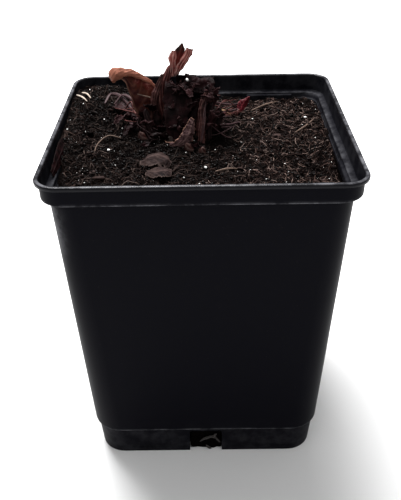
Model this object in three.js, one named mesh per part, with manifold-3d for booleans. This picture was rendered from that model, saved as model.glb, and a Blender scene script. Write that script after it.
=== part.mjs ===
// A rhubarb crown coming out of its winter rest in a square three-litre nursery pot.
// Millimetres, +Z up. The origin is the middle of the square that the pot stands on, and -Y is the
// side with last year's fallen leaf. Everything that grew from the crown is placed from the crown.
import * as THREE from "three";
import { mergeVertices } from "three/addons/utils/BufferGeometryUtils.js";
import Module from "manifold-3d";

const wasm = await Module();
wasm.setup();

// ---- driving dimensions ----
const POT = {
  rim: 77.5, // half the width over the lip
  height: 181,
  wall: 1.2,
  lipHeight: 2.2,
  lipWidth: 2.2,
  collarHeight: 11, // from the lip's top to the collar's underside
  collarHalf: 76, // half the width of the collar below the lip
  bodyTopHalf: 72.4,
  bodyFootHalf: 64.3,
  footHeight: 19.8, // the set-back band round the foot
  footHalf: 61,
  footStep: 1.5, // how far the band is set back from the body
  footRing: 4, // width of the ring that touches the ground
  recess: 2.8, // how far the floor is raised above that ring
  topCorner: 12.5, // corner radius at the lip
  footCorner: 17, // corner radius at the foot
};
const NOTCH = { width: 18.6, height: 17, depth: 12 }; // one drain notch in the middle of each side
const FLOOR_HOLE = { radius: 5, centreRadius: 7, spread: 36 };
const LUG = { from: 28, to: 56, top: 170, height: 4.5, proud: 1.8 }; // stacking lug under the ledge
const SOIL = {
  level: 168,
  gap: 0.4,
  onLedge: 171.9, // where the heaped part lies on the pot's ledge
  collarHalf: 74,
  above: 190,
  footInset: 0.8, // how far inside the foot's wall the compost starts
  ledgeStep: 0.8, // how far it draws in under the ledge
};

// The heap against the left wall, and the mounds and the hollow (below zero) in the compost's surface.
const WALL_HEAP = { x: -76, height: 8, reach: 20, front: [-48, -4], back: [30, 80] };
const MOUNDS = [
  { centre: [-50, 48], height: 6.5, reach: 38 },
  { centre: [-62, 72], height: 4, reach: 26 },
  { centre: [-20, 8], height: 4.5, reach: 26 },
  { centre: [-40, -40], height: 2.5, reach: 34 },
  { centre: [68, -38], height: -6, reach: 26 },
];
const CROWN = new THREE.Vector3(-14, 8, 170); // where the leaf stalks meet, at the soil's surface
const GAP = 0.3; // between neighbours that touch
const LEAF = 1; // thickness of a leaf blade
const WELD = 1e-4;

const COLOURS = {
  pot: 0x17181b,
  compost: 0x1e1613,
  crown: 0x2b1a16,
  youngStalk: 0x6b2a2a,
  youngLeaf: 0xa5605a,
  youngLeafDark: 0x5a1614,
  tanLeaf: 0x9a5f3e,
  darkLeaf: 0x2a171a,
  greyLeaf: 0x6b5752,
  mauveStem: 0x5a3a42,
  redLeaf: 0xa01830,
  straw: 0xb59a7c,
  bark: 0x3a2a22,
  perlite: 0xe6e2dc,
};

const group = new THREE.Group();
const placed = []; // solids already in the pot, each with its grown copy for cutting neighbours

const vec = (x, y, z) => new THREE.Vector3(x, y, z);
const fromCrown = ([x, y, z]) => vec(x, y, z).add(CROWN);

// ---- between three.js geometries and closed solids ----

/** A closed three.js geometry as a solid. */
function toSolid(geometry) {
  const bare = geometry.clone();
  bare.deleteAttribute("normal");
  bare.deleteAttribute("uv");
  const merged = mergeVertices(bare, WELD);
  const mesh = new wasm.Mesh({
    numProp: 3,
    vertProperties: new Float32Array(merged.attributes.position.array),
    triVerts: new Uint32Array(merged.index.array),
  });
  return new wasm.Manifold(mesh);
}

/** A solid as a three.js geometry. */
function toGeometry(solid) {
  const { vertProperties, triVerts } = solid.getMesh();
  const geometry = new THREE.BufferGeometry();
  geometry.setAttribute("position", new THREE.BufferAttribute(vertProperties, 3));
  geometry.setIndex(new THREE.BufferAttribute(triVerts, 1));
  geometry.computeVertexNormals();
  return geometry;
}

/** The largest of the bodies that a cut has left. */
function largestBody(solid) {
  return solid.decompose().reduce((best, body) => (body.volume() > best.volume() ? body : best));
}

/** Adds one named piece to the pot, cut clear of the pieces that are there already. */
function place(name, colour, build, roughness = 0.85) {
  let solid = build(0);
  for (const other of placed) solid = solid.subtract(other);
  solid = largestBody(solid);
  placed.push(build(GAP));
  addMesh(name, colour, toGeometry(solid), roughness);
}

function addMesh(name, colour, geometry, roughness) {
  const material = new THREE.MeshStandardMaterial({ color: colour, roughness, metalness: 0 });
  const mesh = new THREE.Mesh(geometry, material);
  mesh.name = name;
  group.add(mesh);
}

// ---- the square outline that the pot and the compost share ----

/** One point of a square with round corners, counted round it in corner steps and side steps. */
function outlinePoint(index, half, radius, steps) {
  const perSide = steps.corner + steps.side;
  const side = Math.floor(index / perSide) % 4;
  const step = index % perSide;
  const corner = (turn, share) => {
    const angle = (turn + share) * (Math.PI / 2);
    const inset = half - radius;
    const middle = (turn + 0.5) * (Math.PI / 2);
    return new THREE.Vector2(
      Math.sign(Math.cos(middle)) * inset + radius * Math.cos(angle),
      Math.sign(Math.sin(middle)) * inset + radius * Math.sin(angle),
    );
  };
  if (step <= steps.corner) return corner(side, step / steps.corner);
  return corner(side, 1).lerp(corner(side + 1, 0), (step - steps.corner) / steps.side);
}

/** A lathed profile made square. Each profile point is (half width, height). */
function squareLathe(profile, steps, cornerRadius) {
  const segments = 4 * (steps.corner + steps.side);
  const geometry = new THREE.LatheGeometry(profile, segments);
  const position = geometry.attributes.position;
  for (let i = 0; i < position.count; i++) {
    const turn = Math.floor(i / profile.length) % segments;
    const { x: half, y: height } = profile[i % profile.length];
    const flat = outlinePoint(turn, half, Math.min(half, cornerRadius(half, height)), steps);
    position.setXYZ(i, flat.x, flat.y, height);
  }
  return geometry;
}

function potCorner(half, height) {
  const share = THREE.MathUtils.clamp(height / POT.height, 0, 1);
  const outer = THREE.MathUtils.lerp(POT.footCorner, POT.topCorner, share);
  return Math.max(outer - 1, 1);
}

/** Half the width inside the body's wall at a height above the foot band. */
function insideHalf(height) {
  const ledge = POT.height - POT.collarHeight;
  const share = (height - POT.footHeight) / (ledge - POT.footHeight);
  return THREE.MathUtils.lerp(POT.bodyFootHalf, POT.bodyTopHalf, share) - POT.wall;
}

// ---- the pot ----

function boxAt(centre, size) {
  return new THREE.BoxGeometry(size.x, size.y, size.z).translate(centre.x, centre.y, centre.z);
}

/** The four copies of a solid round the pot. */
function onEachSide(solid) {
  return [0, 90, 180, 270]
    .map((turn) => solid.rotate([0, 0, turn]))
    .reduce((all, one) => all.add(one));
}

function stackingLugs(margin = 0) {
  const inner = insideHalf(LUG.top) - LUG.proud;
  const reach = LUG.proud + POT.wall / 2;
  const size = vec(LUG.to - LUG.from + 2 * margin, reach + margin, LUG.height + 2 * margin);
  const middle = vec(
    (LUG.from + LUG.to) / 2,
    inner + reach / 2 - margin / 2,
    LUG.top - LUG.height / 2,
  );
  return onEachSide(toSolid(boxAt(middle, size)));
}

function drainNotches() {
  const size = vec(NOTCH.width, NOTCH.depth, NOTCH.height + 1);
  const middle = vec(0, POT.bodyFootHalf - NOTCH.depth / 2, NOTCH.height / 2 - 0.5);
  return onEachSide(toSolid(boxAt(middle, size)));
}

function floorHoles() {
  const drill = (radius, x, y) =>
    toSolid(
      new THREE.CylinderGeometry(radius, radius, 10, 12).rotateX(Math.PI / 2).translate(x, y, 3),
    );
  const corner = drill(FLOOR_HOLE.radius, FLOOR_HOLE.spread, FLOOR_HOLE.spread);
  return onEachSide(corner).add(drill(FLOOR_HOLE.centreRadius, 0, 0));
}

function buildPot() {
  const { height, rim, wall, recess, footRing, footHalf, footStep, footHeight } = POT;
  const ledge = height - POT.collarHeight;
  const bandTop = POT.bodyFootHalf - footStep;
  const collarFoot = POT.collarHalf - 0.3;
  const at = (half, z) => new THREE.Vector2(half, z);
  const profile = [
    at(0, recess),
    at(footHalf - footRing - 0.5, recess),
    at(footHalf - footRing, 0),
    at(footHalf - 0.6, 0),
    at(footHalf, 0.8),
    at(bandTop, footHeight - 0.7),
    at(POT.bodyFootHalf, footHeight),
    at(POT.bodyTopHalf, ledge - 0.4),
    at(collarFoot - 0.6, ledge - 0.2),
    at(collarFoot, ledge + 0.4),
    at(POT.collarHalf, height - POT.lipHeight - 0.3),
    at(rim, height - POT.lipHeight),
    at(rim, height - 0.5),
    at(rim - 0.5, height),
    at(rim - POT.lipWidth + 0.3, height),
    at(rim - POT.lipWidth, height - 0.4),
    at(collarFoot - wall, ledge + wall + 0.3),
    at(collarFoot - wall - 0.5, ledge + wall - 0.2),
    at(insideHalf(ledge) + 0.4, ledge + wall - 0.4),
    at(insideHalf(ledge), ledge + 0.2),
    at(insideHalf(footHeight), footHeight + 0.4),
    at(bandTop - wall, footHeight - 1.1),
    at(footHalf - wall + 0.2, recess + wall + 0.6),
    at(footHalf - wall - 0.6, recess + wall),
    at(0, recess + wall),
  ];
  const shell = toSolid(squareLathe(profile, { corner: 6, side: 1 }, potCorner));
  return shell.add(stackingLugs()).subtract(drainNotches()).subtract(floorHoles());
}

// ---- the compost ----

/** A round mound of the given height and reach. */
function mound(x, y, centre, height, reach) {
  const [cx, cy] = centre;
  return height * Math.exp(-((x - cx) ** 2 + (y - cy) ** 2) / (reach * reach));
}

/** The compost heaped against the left wall, up to the lip at the back and falling off in front. */
function wallHeap(x, y) {
  const { smoothstep } = THREE.MathUtils;
  const along = smoothstep(y, ...WALL_HEAP.front) * (1 - smoothstep(y, ...WALL_HEAP.back));
  return WALL_HEAP.height * Math.exp(-(((x - WALL_HEAP.x) / WALL_HEAP.reach) ** 2)) * along;
}

/** The compost's surface: level, heaped at the left and round the crown, low on the right. */
function soilHeight(x, y) {
  const ripples = 0.6 * Math.sin(x / 6.1 + 1.3) * Math.cos(y / 7.3) + 0.4 * Math.sin((x + y) / 4.3);
  let heaped = wallHeap(x, y);
  for (const { centre, height, reach } of MOUNDS) heaped += mound(x, y, centre, height, reach);
  return SOIL.level + heaped + ripples;
}

/** The room inside the pot, from the floor past the ledge to well above the lip. */
function potRoom() {
  const floor = POT.recess + POT.wall + SOIL.gap;
  const bandTop = POT.bodyFootHalf - POT.footStep - POT.wall - SOIL.gap;
  const bodyTop = insideHalf(SOIL.level) - SOIL.gap;
  const profile = [
    [0, floor],
    [POT.footHalf - POT.wall - SOIL.footInset - SOIL.gap, floor],
    [bandTop, POT.footHeight - 1.4],
    [insideHalf(POT.footHeight) - SOIL.gap, POT.footHeight + 0.6],
    [bodyTop, SOIL.level - 1.5 * SOIL.ledgeStep],
    [bodyTop - SOIL.ledgeStep, SOIL.level - SOIL.ledgeStep],
    [bodyTop - SOIL.ledgeStep, SOIL.onLedge],
    [SOIL.collarHalf, SOIL.onLedge],
    [SOIL.collarHalf, SOIL.above],
    [0, SOIL.above],
  ].map(([half, z]) => new THREE.Vector2(half, z));
  return toSolid(squareLathe(profile, { corner: 4, side: 1 }, potCorner));
}

/** The ground as a block whose top is the compost's surface, raised by a margin to cut pieces. */
function ground(margin) {
  const width = 2 * SOIL.collarHalf + 4;
  const depth = SOIL.above;
  const steps = 26;
  const block = new THREE.BoxGeometry(width, width, depth, steps, steps, 1);
  const position = block.attributes.position;
  for (let i = 0; i < position.count; i++) {
    const [x, y] = [position.getX(i), position.getY(i)];
    position.setZ(i, position.getZ(i) > 0 ? soilHeight(x, y) + margin : 0);
  }
  return toSolid(block);
}

/** The compost in the pot, cut from the room inside it. */
function compostBlock(margin = 0) {
  return potRoom().intersect(ground(margin));
}

// ---- the crown and its buds ----

/** The crown: a knobbly woody stock with its fat root, mostly under the surface. */
function crownSolid(margin = 0) {
  const lump = (centre, radii) => {
    const [x, y, z] = centre;
    const [rx, ry, rz] = radii.map((r) => r + margin);
    const ball = new THREE.IcosahedronGeometry(1, 2).scale(rx, ry, rz);
    return toSolid(ball.translate(CROWN.x + x, CROWN.y + y, CROWN.z + z));
  };
  return [
    lump([0, 0, -10], [22, 19, 15.5]),
    lump([-14, 2, -6], [10, 10, 9]),
    lump([13, -4, -7], [9, 9, 9]),
    lump([1, -14, -6], [9, 7, 8]),
    lump([-3, 12, -6], [10, 8, 9]),
    lump([0, 0, -42], [13, 12, 34]),
  ].reduce((all, one) => all.add(one));
}

/** A pointed bud standing on the crown or in the compost. */
function bud(foot, tip, radius) {
  return (margin) => {
    const start = fromCrown(foot);
    const axis = fromCrown(tip).sub(start);
    const length = axis.length() + margin;
    const swell = radius + margin;
    const profile = [
      [0, -margin],
      [swell * 0.8, 0],
      [swell, length * 0.32],
      [swell * 0.72, length * 0.66],
      [swell * 0.3, length * 0.9],
      [0, length],
    ].map(([r, h]) => new THREE.Vector2(r, h));
    const turn = new THREE.Quaternion().setFromUnitVectors(vec(0, 1, 0), axis.normalize());
    const shape = new THREE.LatheGeometry(profile, 8).applyQuaternion(turn);
    return toSolid(shape.translate(start.x, start.y, start.z));
  };
}

// ---- stalks and stems ----

/** A round stem with rounded ends along a curve, its radius changing evenly between the given radii. */
function stem(points, radii, sides = 6, steps = 8) {
  return (margin) => {
    const curve = new THREE.CatmullRomCurve3(points, false, "centripetal");
    const frames = curve.computeFrenetFrames(steps, false);
    const capsule = new THREE.CapsuleGeometry(1, 1, 2, sides, steps);
    const position = capsule.attributes.position;
    for (let i = 0; i < position.count; i++) {
      const y = position.getY(i);
      const share = THREE.MathUtils.clamp(y + 0.5, 0, 1);
      const ring = Math.round(share * steps);
      const along = share * (radii.length - 1);
      const low = Math.min(Math.floor(along), radii.length - 2);
      const radius = THREE.MathUtils.lerp(radii[low], radii[low + 1], along - low) + margin;
      const beyond = y - (share - 0.5);
      const point = curve
        .getPointAt(share)
        .addScaledVector(frames.normals[ring], position.getX(i) * radius)
        .addScaledVector(frames.binormals[ring], -position.getZ(i) * radius)
        .addScaledVector(frames.tangents[ring], beyond * radius);
      position.setXYZ(i, point.x, point.y, point.z);
    }
    return toSolid(capsule);
  };
}

// ---- leaf blades ----

/** A point of the sheet stretched over the ribs: u runs from rib to rib, v along each rib. */
function sheetPoint(ribs, u, v) {
  const across = ribs.map((rib) => new THREE.CatmullRomCurve3(rib, false, "centripetal").getPoint(v));
  return new THREE.CatmullRomCurve3(across, false, "centripetal").getPoint(u);
}

/** A thin sheet stretched over its ribs, each of them a row of points across the leaf. */
function sheet(ribs, across, along, thickness = LEAF) {
  return (margin) => {
    const slab = new THREE.BoxGeometry(1, 1, 1, across, along, 1);
    const position = slab.attributes.position;
    const nudge = 0.02;
    for (let i = 0; i < position.count; i++) {
      const v = position.getX(i) + 0.5;
      const u = position.getY(i) + 0.5;
      const here = sheetPoint(ribs, u, v);
      const uBack = Math.max(u - nudge, 0);
      const vBack = Math.max(v - nudge, 0);
      const alongU = sheetPoint(ribs, uBack + nudge, v).sub(sheetPoint(ribs, uBack, v)).normalize();
      const alongV = sheetPoint(ribs, u, vBack + nudge).sub(sheetPoint(ribs, u, vBack)).normalize();
      const normal = alongV.clone().cross(alongU).normalize();
      const overU = Math.sign(Math.round(2 * u - 1)) * margin;
      const overV = Math.sign(Math.round(2 * v - 1)) * margin;
      here.addScaledVector(normal, position.getZ(i) * (thickness + 2 * margin));
      if (u === 0 || u === 1) here.addScaledVector(alongU, overU);
      if (v === 0 || v === 1) here.addScaledVector(alongV, overV);
      position.setXYZ(i, here.x, here.y, here.z);
    }
    return toSolid(slab);
  };
}

/**
 * A leaf blade. The midrib's points are measured from the crown, halfWidths has one value for each
 * of them, side points across the blade, and hollow is how far its edges stand off the midrib.
 */
function blade({ midrib, halfWidths, side = [1, 0, 0], hollow = 1, along = 7 }) {
  const points = midrib.map(fromCrown);
  const curve = new THREE.CatmullRomCurve3(points, false, "centripetal");
  const widest = Math.max(...halfWidths);
  const ribs = points.map((middle, i) => {
    const halfWidth = halfWidths[i];
    const across = vec(...side).normalize();
    const tangent = curve.getTangent(i / (points.length - 1));
    const lift = across.clone().cross(tangent).normalize();
    lift.multiplyScalar((-hollow * halfWidth) / widest);
    const edge = (way) => middle.clone().addScaledVector(across, way * halfWidth).add(lift);
    return [edge(-1), middle, edge(1)];
  });
  return sheet(ribs, 4, along);
}

/**
 * A leaf hanging from a ridge, with its upper edge rolled over towards the front. The face drops
 * from each point of the ridge by its drop, and the roll has a radius of its own there.
 */
function rolledBlade({ ridge, drops, rolls }) {
  const ribs = ridge.map((point, i) => {
    const top = fromCrown(point);
    const roll = rolls[i];
    const drop = drops[i];
    return [
      top.clone().add(vec(0, -0.5 * roll, -2.1 * roll)),
      top.clone().add(vec(0, -0.8 * roll, -0.9 * roll)),
      top,
      top.clone().add(vec(0, 0.9 * roll, -0.5 * drop)),
      top.clone().add(vec(0, -0.3 * roll, -drop)),
    ];
  });
  return sheet(ribs, 8, 10);
}

// ---- litter on the compost ----

const onSoil = (x, y, lift = 0) => vec(x, y, soilHeight(x, y) + lift);

/** A broken flake of bark lying on the compost. */
function flake(x, y, size, turn) {
  return (margin) => {
    const shape = new THREE.DodecahedronGeometry(1, 0);
    shape.scale(size + margin, size * 0.6 + margin, size * 0.28 + margin);
    shape.rotateX(0.18).rotateZ(turn);
    const spot = onSoil(x, y, size * 0.12);
    return toSolid(shape.translate(spot.x, spot.y, spot.z));
  };
}

/** A grain of perlite. */
function grain(spot, radius) {
  return (margin) => {
    const shape = new THREE.IcosahedronGeometry(radius + margin, 0);
    return toSolid(shape.translate(spot.x, spot.y, spot.z));
  };
}

/** A straight or bent twig lying on the compost. */
function twig(points, radius) {
  const lying = points.map(([x, y, lift = radius * 0.6]) => onSoil(x, y, lift));
  return stem(lying, [radius, radius * 1.15, radius * 0.8], 6, 4);
}

// ---- what stands in the pot ----

addMesh("pot", COLOURS.pot, toGeometry(buildPot()), 0.45);

const compost = compostBlock().subtract(crownSolid(GAP)).subtract(stackingLugs(GAP));
addMesh("compost", COLOURS.compost, toGeometry(largestBody(compost)), 0.95);
placed.push(compostBlock(GAP));
placed.push(crownSolid(GAP));
addMesh("crown", COLOURS.crown, toGeometry(crownSolid()), 0.8);

// The one stalk that still stands, with its dry husk and the furled young leaf at its top.
const uprightStalk = [[-8, 3, 2], [-9, 4, 11], [-8.4, 5, 20], [-6.6, 6.6, 27], [-3.4, 9, 33.5]];
place("upright_stalk", COLOURS.youngStalk,
  stem(uprightStalk.map(fromCrown), [3.2, 2.8, 2.6, 2.3, 1.8], 8, 10));
place("upright_husk", COLOURS.greyLeaf, blade({
  midrib: [[-10, -0.6, 0], [-11.6, 0, 9], [-11.2, 1, 18], [-9.4, 3, 25.5], [-7, 5, 32]],
  halfWidths: [2.2, 2.4, 2.2, 1.7, 0.9],
}));
place("upright_leaf_left", COLOURS.youngLeaf, blade({
  midrib: [[-1.4, 6.2, 32], [-0.9, 6.4, 37], [-0.8, 6.9, 41.4], [0.1, 7.4, 44.6]],
  halfWidths: [1.4, 1.5, 2.1, 0.9],
}));
place("upright_leaf_centre", COLOURS.youngLeafDark, blade({
  midrib: [[-0.7, 10.4, 32], [1.4, 9.6, 38], [3.1, 9.8, 43.4], [4.4, 10, 48]],
  halfWidths: [1.2, 2, 2.6, 0.5],
  side: [1, 0, -0.3],
}));
place("upright_leaf_right", COLOURS.youngLeaf, blade({
  midrib: [[0.8, 7.4, 32], [3.6, 7, 37], [6.8, 7, 42], [8.6, 6.8, 45.6]],
  halfWidths: [1.2, 1.9, 2, 1.7],
  side: [1, 0, -0.3],
}));

// The tan leaf at the back left, whose upper edge has rolled over towards the front.
place("curled_leaf", COLOURS.tanLeaf, rolledBlade({
  ridge: [[-12.6, 8.6, 25.5], [-14.4, 8, 28.8], [-17.3, 7.5, 31.5], [-20.4, 7, 33.3], [-23, 6.6, 35.2],
    [-26.6, 6.4, 36], [-31, 6.6, 35.8], [-33.6, 7, 34.8], [-35.4, 7.6, 32.6]],
  drops: [22, 26, 29, 27, 20, 8, 4, 4, 2],
  rolls: [0.8, 1, 1.3, 1.5, 1.7, 2.1, 2.9, 3.1, 0.9],
}));

// Last year's leaves, wet and dark, folded over the crown.
place("hood_leaf", COLOURS.darkLeaf, blade({
  midrib: [[1, 6, 3], [0.8, 6, 14], [0.8, 5, 24], [1.2, 1, 28], [1.8, -5, 20], [2.4, -11, 10], [3, -16, 1]],
  halfWidths: [4, 5.4, 6.2, 6.6, 7.6, 7, 5.5],
  along: 10,
}));
place("right_sheath", COLOURS.youngStalk, blade({
  midrib: [[13.4, -14, 0], [13.6, -10.5, 9], [15, -5, 19], [18, 0, 28]],
  halfWidths: [2.2, 2.2, 2.2, 2.6],
  hollow: 1.6,
}));
place("right_leaf", COLOURS.darkLeaf, blade({
  midrib: [[9.5, 5, -2], [10.8, 7, 9], [11.8, 9.5, 20], [12.8, 10, 28], [14, 4, 30], [15, -1, 24]],
  halfWidths: [3, 5, 6.5, 7.4, 7.4, 5],
  side: [1, 0, -0.16],
}));
place("back_leaf", COLOURS.darkLeaf, blade({
  midrib: [[5, 13, -2], [6, 15, 7], [6, 16, 19], [6, 15, 29]],
  halfWidths: [3, 4, 4.5, 5],
}));

// Old stalks standing behind the sheath, and soft stems lying to the left and right.
const stems = {
  old_stalk_right: [[[17.5, -6, 1], [18.5, -2, 12], [19.5, 3, 22]], [1.9, 1.7, 1.4]],
  old_stalk_left: [[[-12, -6, 1], [-14.5, -4, 9], [-16, -1, 16]], [2.1, 1.8, 1.2]],
  looped_stem_outer: [[[-42, 29, 9], [-39, 36.5, 11], [-33.6, 31.6, 12], [-28, 23, 10.6], [-25, 14.5, 8.6],
    [-23.6, 7.5, 7]], [0.9, 1.1, 1.1, 0.9]],
  looped_stem_inner: [[[-36, 25, 9.6], [-31, 28, 13.4], [-25, 20, 13.6], [-19.5, 12, 10]], [0.8, 1, 0.9]],
  twisted_stem: [[[-26, 8, 4.4], [-22.5, 2.6, 5], [-20.5, -5, 3.5], [-18, -11, 2.5]], [1, 1.2, 0.9]],
  trailing_stem_low: [[[18, 6, 12], [24, 16, 7], [30, 28, 3], [36, 38, 0.6]], [1.2, 1, 0.8]],
  trailing_stem_high: [[[19, 8, 16], [25, 20, 10.5], [31, 34, 4.5], [37, 48, 0]], [1.2, 1, 0.8]],
  trailing_stem_short: [[[17, -2, 6], [23, 4, 4], [30, 10, 2], [36, 18, 0.4]], [1.1, 1, 0.7]],
};
for (const [name, [points, radii]] of Object.entries(stems)) {
  place(name, COLOURS.mauveStem, stem(points.map(fromCrown), radii));
}

// Buds breaking at the crown's foot.
place("bud_front", COLOURS.youngLeafDark, bud([8, -19, -2], [6, -21.5, 4.5], 2.6));
place("bud_right", COLOURS.greyLeaf, bud([14, -21, -2], [14.5, -23, 2.6], 2));
place("bud_left", COLOURS.youngLeafDark, bud([-17, -8, 0], [-19, -10, 6.5], 2.4));

// The crimson leaf that has just broken through on the right, with its pale stalk.
const redStalk = [[33.4, 34.4, -2], [34.8, 35.2, -0.6], [36, 35.8, 0.4]].map(fromCrown);
place("red_shoot_stalk", COLOURS.youngLeaf, stem(redStalk, [1.7, 1.5, 1.2], 6, 4));
place("red_shoot_leaf", COLOURS.redLeaf, blade({
  midrib: [[37, 36.4, -0.6], [37.6, 36.8, 1.6], [38.6, 37.4, 4], [40.4, 38, 6.2], [41.9, 38.4, 7.7]],
  halfWidths: [1.2, 2.6, 2.9, 1.7, 0.5],
  hollow: 1.6,
}));

// Dead leaves lying loose on the crown and on the compost.
place("crescent_leaf", COLOURS.greyLeaf, blade({
  midrib: [[-5.4, -14.4, 2.4], [-1.2, -19, 2.4], [3.8, -20.5, 4.4], [7, -19.4, 8.4],
    [8.6, -17.4, 12.6], [9.2, -15.8, 16]],
  halfWidths: [0.9, 1.6, 2.5, 3, 2.6, 0.8],
  side: [0.7, 0, -0.7],
  along: 10,
}));
place("fallen_leaf_upper", COLOURS.greyLeaf, blade({
  midrib: [[-17.5, -37, 0.8], [-13.5, -36, 3.2], [-8.5, -35, 4.2], [-3.5, -36, 3], [-1.5, -38, 0.4]],
  halfWidths: [2, 6, 7, 6.5, 3.5],
  side: [0, 1, 0],
  hollow: -2.2,
}));
place("fallen_leaf_lower", COLOURS.greyLeaf, blade({
  midrib: [[-14, -48, 0.6], [-9.5, -49, 1.8], [-4.5, -49, 2.2], [-1, -49, 0.8]],
  halfWidths: [3, 5.5, 5.5, 4],
  side: [0, 1, 0],
  hollow: -1.2,
}));
place("mauve_leaf", COLOURS.mauveStem, blade({
  midrib: [[-36, 25, 7.6], [-30, 22, 8.8], [-25, 16, 7.4], [-22, 12, 5]],
  halfWidths: [3, 4.5, 4, 2],
  side: [0.3, 1, 0],
}));
place("wall_leaf", COLOURS.mauveStem, blade({
  midrib: [[-59, -54, 3.3], [-58.6, -46, 4], [-58.2, -36, 4.5], [-58, -26, 5], [-58.4, -17, 5]],
  halfWidths: [1.4, 2.5, 3, 3.5, 2.4],
  side: [0.35, 0, -1],
  hollow: 0.4,
}));
place("tan_fragment", COLOURS.straw, blade({
  midrib: [[24, 31, 1.6], [27.2, 28.5, 2], [30.8, 26, 0.8]],
  halfWidths: [2, 2, 1.6],
  side: [0, 1, 0],
}));

// Straws, twigs, bark and perlite on the surface.
place("straw_on_leaf", COLOURS.straw,
  stem([[-19.5, 5.6, 21.5], [-14.5, 5, 20.6], [-10, 5, 19.5]].map(fromCrown), [0.5, 0.6, 0.4], 6, 4));
place("long_fibre", COLOURS.straw,
  stem([[-42, -26, 1.6], [-41, -17, 3], [-36, -10, 4.6], [-29, -11, 3.6]].map(fromCrown),
    [0.5, 0.6, 0.5], 6, 8));
const twigs = {
  straw_back_outer: [[[-72.4, 44.6, 1.2], [-69.2, 40.4, 1.6], [-65.4, 35, 0.8]], 0.8],
  straw_back_inner: [[[-70, 49, 1], [-67, 45, 1.4], [-64, 41, 0.8]], 0.7],
  twig_right: [[[52, 13], [58, 20], [64, 29]], 0.9],
  twig_front: [[[7, -37], [12, -34.5], [18, -31]], 0.8],
  twig_back: [[[30, 48], [38, 56], [46, 60]], 0.8],
};
for (const [name, [points, radius]] of Object.entries(twigs)) {
  place(name, COLOURS.straw, twig(points, radius));
}
const flakes = [[31, -13, 3.4, 0.4], [63, 36, 3, 1.2], [58, -38, 5, 0.7], [42, -30, 3.6, 2.2],
  [42, 14, 4.2, 2.8], [-50, -46, 4.4, 0.3], [-60, 2, 4.2, 1.7], [12, -54, 3.8, 0.9],
  [56, 56, 3.6, 2.4], [-60, 24, 3.8, 0.1]];
flakes.forEach(([x, y, size, turn], i) => {
  place(`bark_flake_${i + 1}`, COLOURS.bark, flake(x, y, size, turn));
});
const grains = [[onSoil(-48, -17, 0.9), 1.3], [onSoil(2, -33, 0.7), 1], [onSoil(60, 33, 0.9), 1.3],
  [fromCrown([7, 1.6, 30.6]), 1.1]];
grains.forEach(([spot, radius], i) => {
  place(`perlite_grain_${i + 1}`, COLOURS.perlite, grain(spot, radius));
});

export default group;
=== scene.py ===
"""A potted rhubarb waking from its winter rest: the looks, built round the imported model.

Everything is in metres, with +Z up. Sizes written in millimetres are turned into metres by mm().
"""

import logging
import math
import random
from abc import ABC, abstractmethod
from dataclasses import dataclass
from enum import Enum
from typing import Callable, Sequence

import bmesh
import bpy
import numpy as np
from mathutils import Matrix, Vector, noise
from mathutils.bvhtree import BVHTree


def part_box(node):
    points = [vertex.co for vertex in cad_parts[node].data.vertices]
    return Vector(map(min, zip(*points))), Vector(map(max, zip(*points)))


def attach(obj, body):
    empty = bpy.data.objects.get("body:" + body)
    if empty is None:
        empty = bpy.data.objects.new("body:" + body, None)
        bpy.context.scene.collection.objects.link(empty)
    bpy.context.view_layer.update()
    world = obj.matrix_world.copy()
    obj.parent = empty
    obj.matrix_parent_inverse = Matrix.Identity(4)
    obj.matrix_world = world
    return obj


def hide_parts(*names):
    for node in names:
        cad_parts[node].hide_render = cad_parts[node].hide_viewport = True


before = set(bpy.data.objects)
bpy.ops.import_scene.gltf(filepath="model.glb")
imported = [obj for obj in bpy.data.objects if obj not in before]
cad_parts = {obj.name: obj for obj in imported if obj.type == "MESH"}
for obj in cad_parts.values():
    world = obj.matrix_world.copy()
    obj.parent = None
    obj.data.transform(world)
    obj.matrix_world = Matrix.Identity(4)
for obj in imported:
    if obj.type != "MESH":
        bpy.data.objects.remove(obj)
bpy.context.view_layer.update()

LOG = logging.getLogger("potted_rhubarb")

Triple = tuple[float, float, float]
Colour = tuple[float, float, float]
Stops = tuple[tuple[float, Colour], ...]


def mm(value: float) -> float:
    """Millimetres in metres."""
    return value * 0.001


def shade(red: int, green: int, blue: int) -> Colour:
    """A colour given as it shows on screen, 0 to 255, as linear light."""

    def linear(channel: int) -> float:
        share = channel / 255
        return share / 12.92 if share <= 0.04045 else ((share + 0.055) / 1.055) ** 2.4

    return linear(red), linear(green), linear(blue)


def tones(*rows: tuple[float, int, int, int]) -> Stops:
    """Colour stops, each given as its place from 0 to 1 and its shade."""
    return tuple((place, shade(*colour)) for place, *colour in rows)


class Slot(str, Enum):
    """Names of material slots."""

    POT = "pot_plastic"
    COMPOST = "compost"
    CROWN = "crown_bark"
    YOUNG_STALK = "young_stalk"
    YOUNG_LEAF = "young_leaf"
    YOUNG_LEAF_DARK = "young_leaf_dark"
    TAN_LEAF = "tan_leaf"
    WET_LEAF = "wet_leaf"
    DRY_LEAF = "dry_leaf"
    MAUVE_STEM = "mauve_stem"
    BUD = "bud_skin"
    CRIMSON_LEAF = "crimson_leaf"
    STRAW = "straw"
    BARK = "bark"
    PERLITE = "perlite"


# ---- finishes ----


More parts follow.
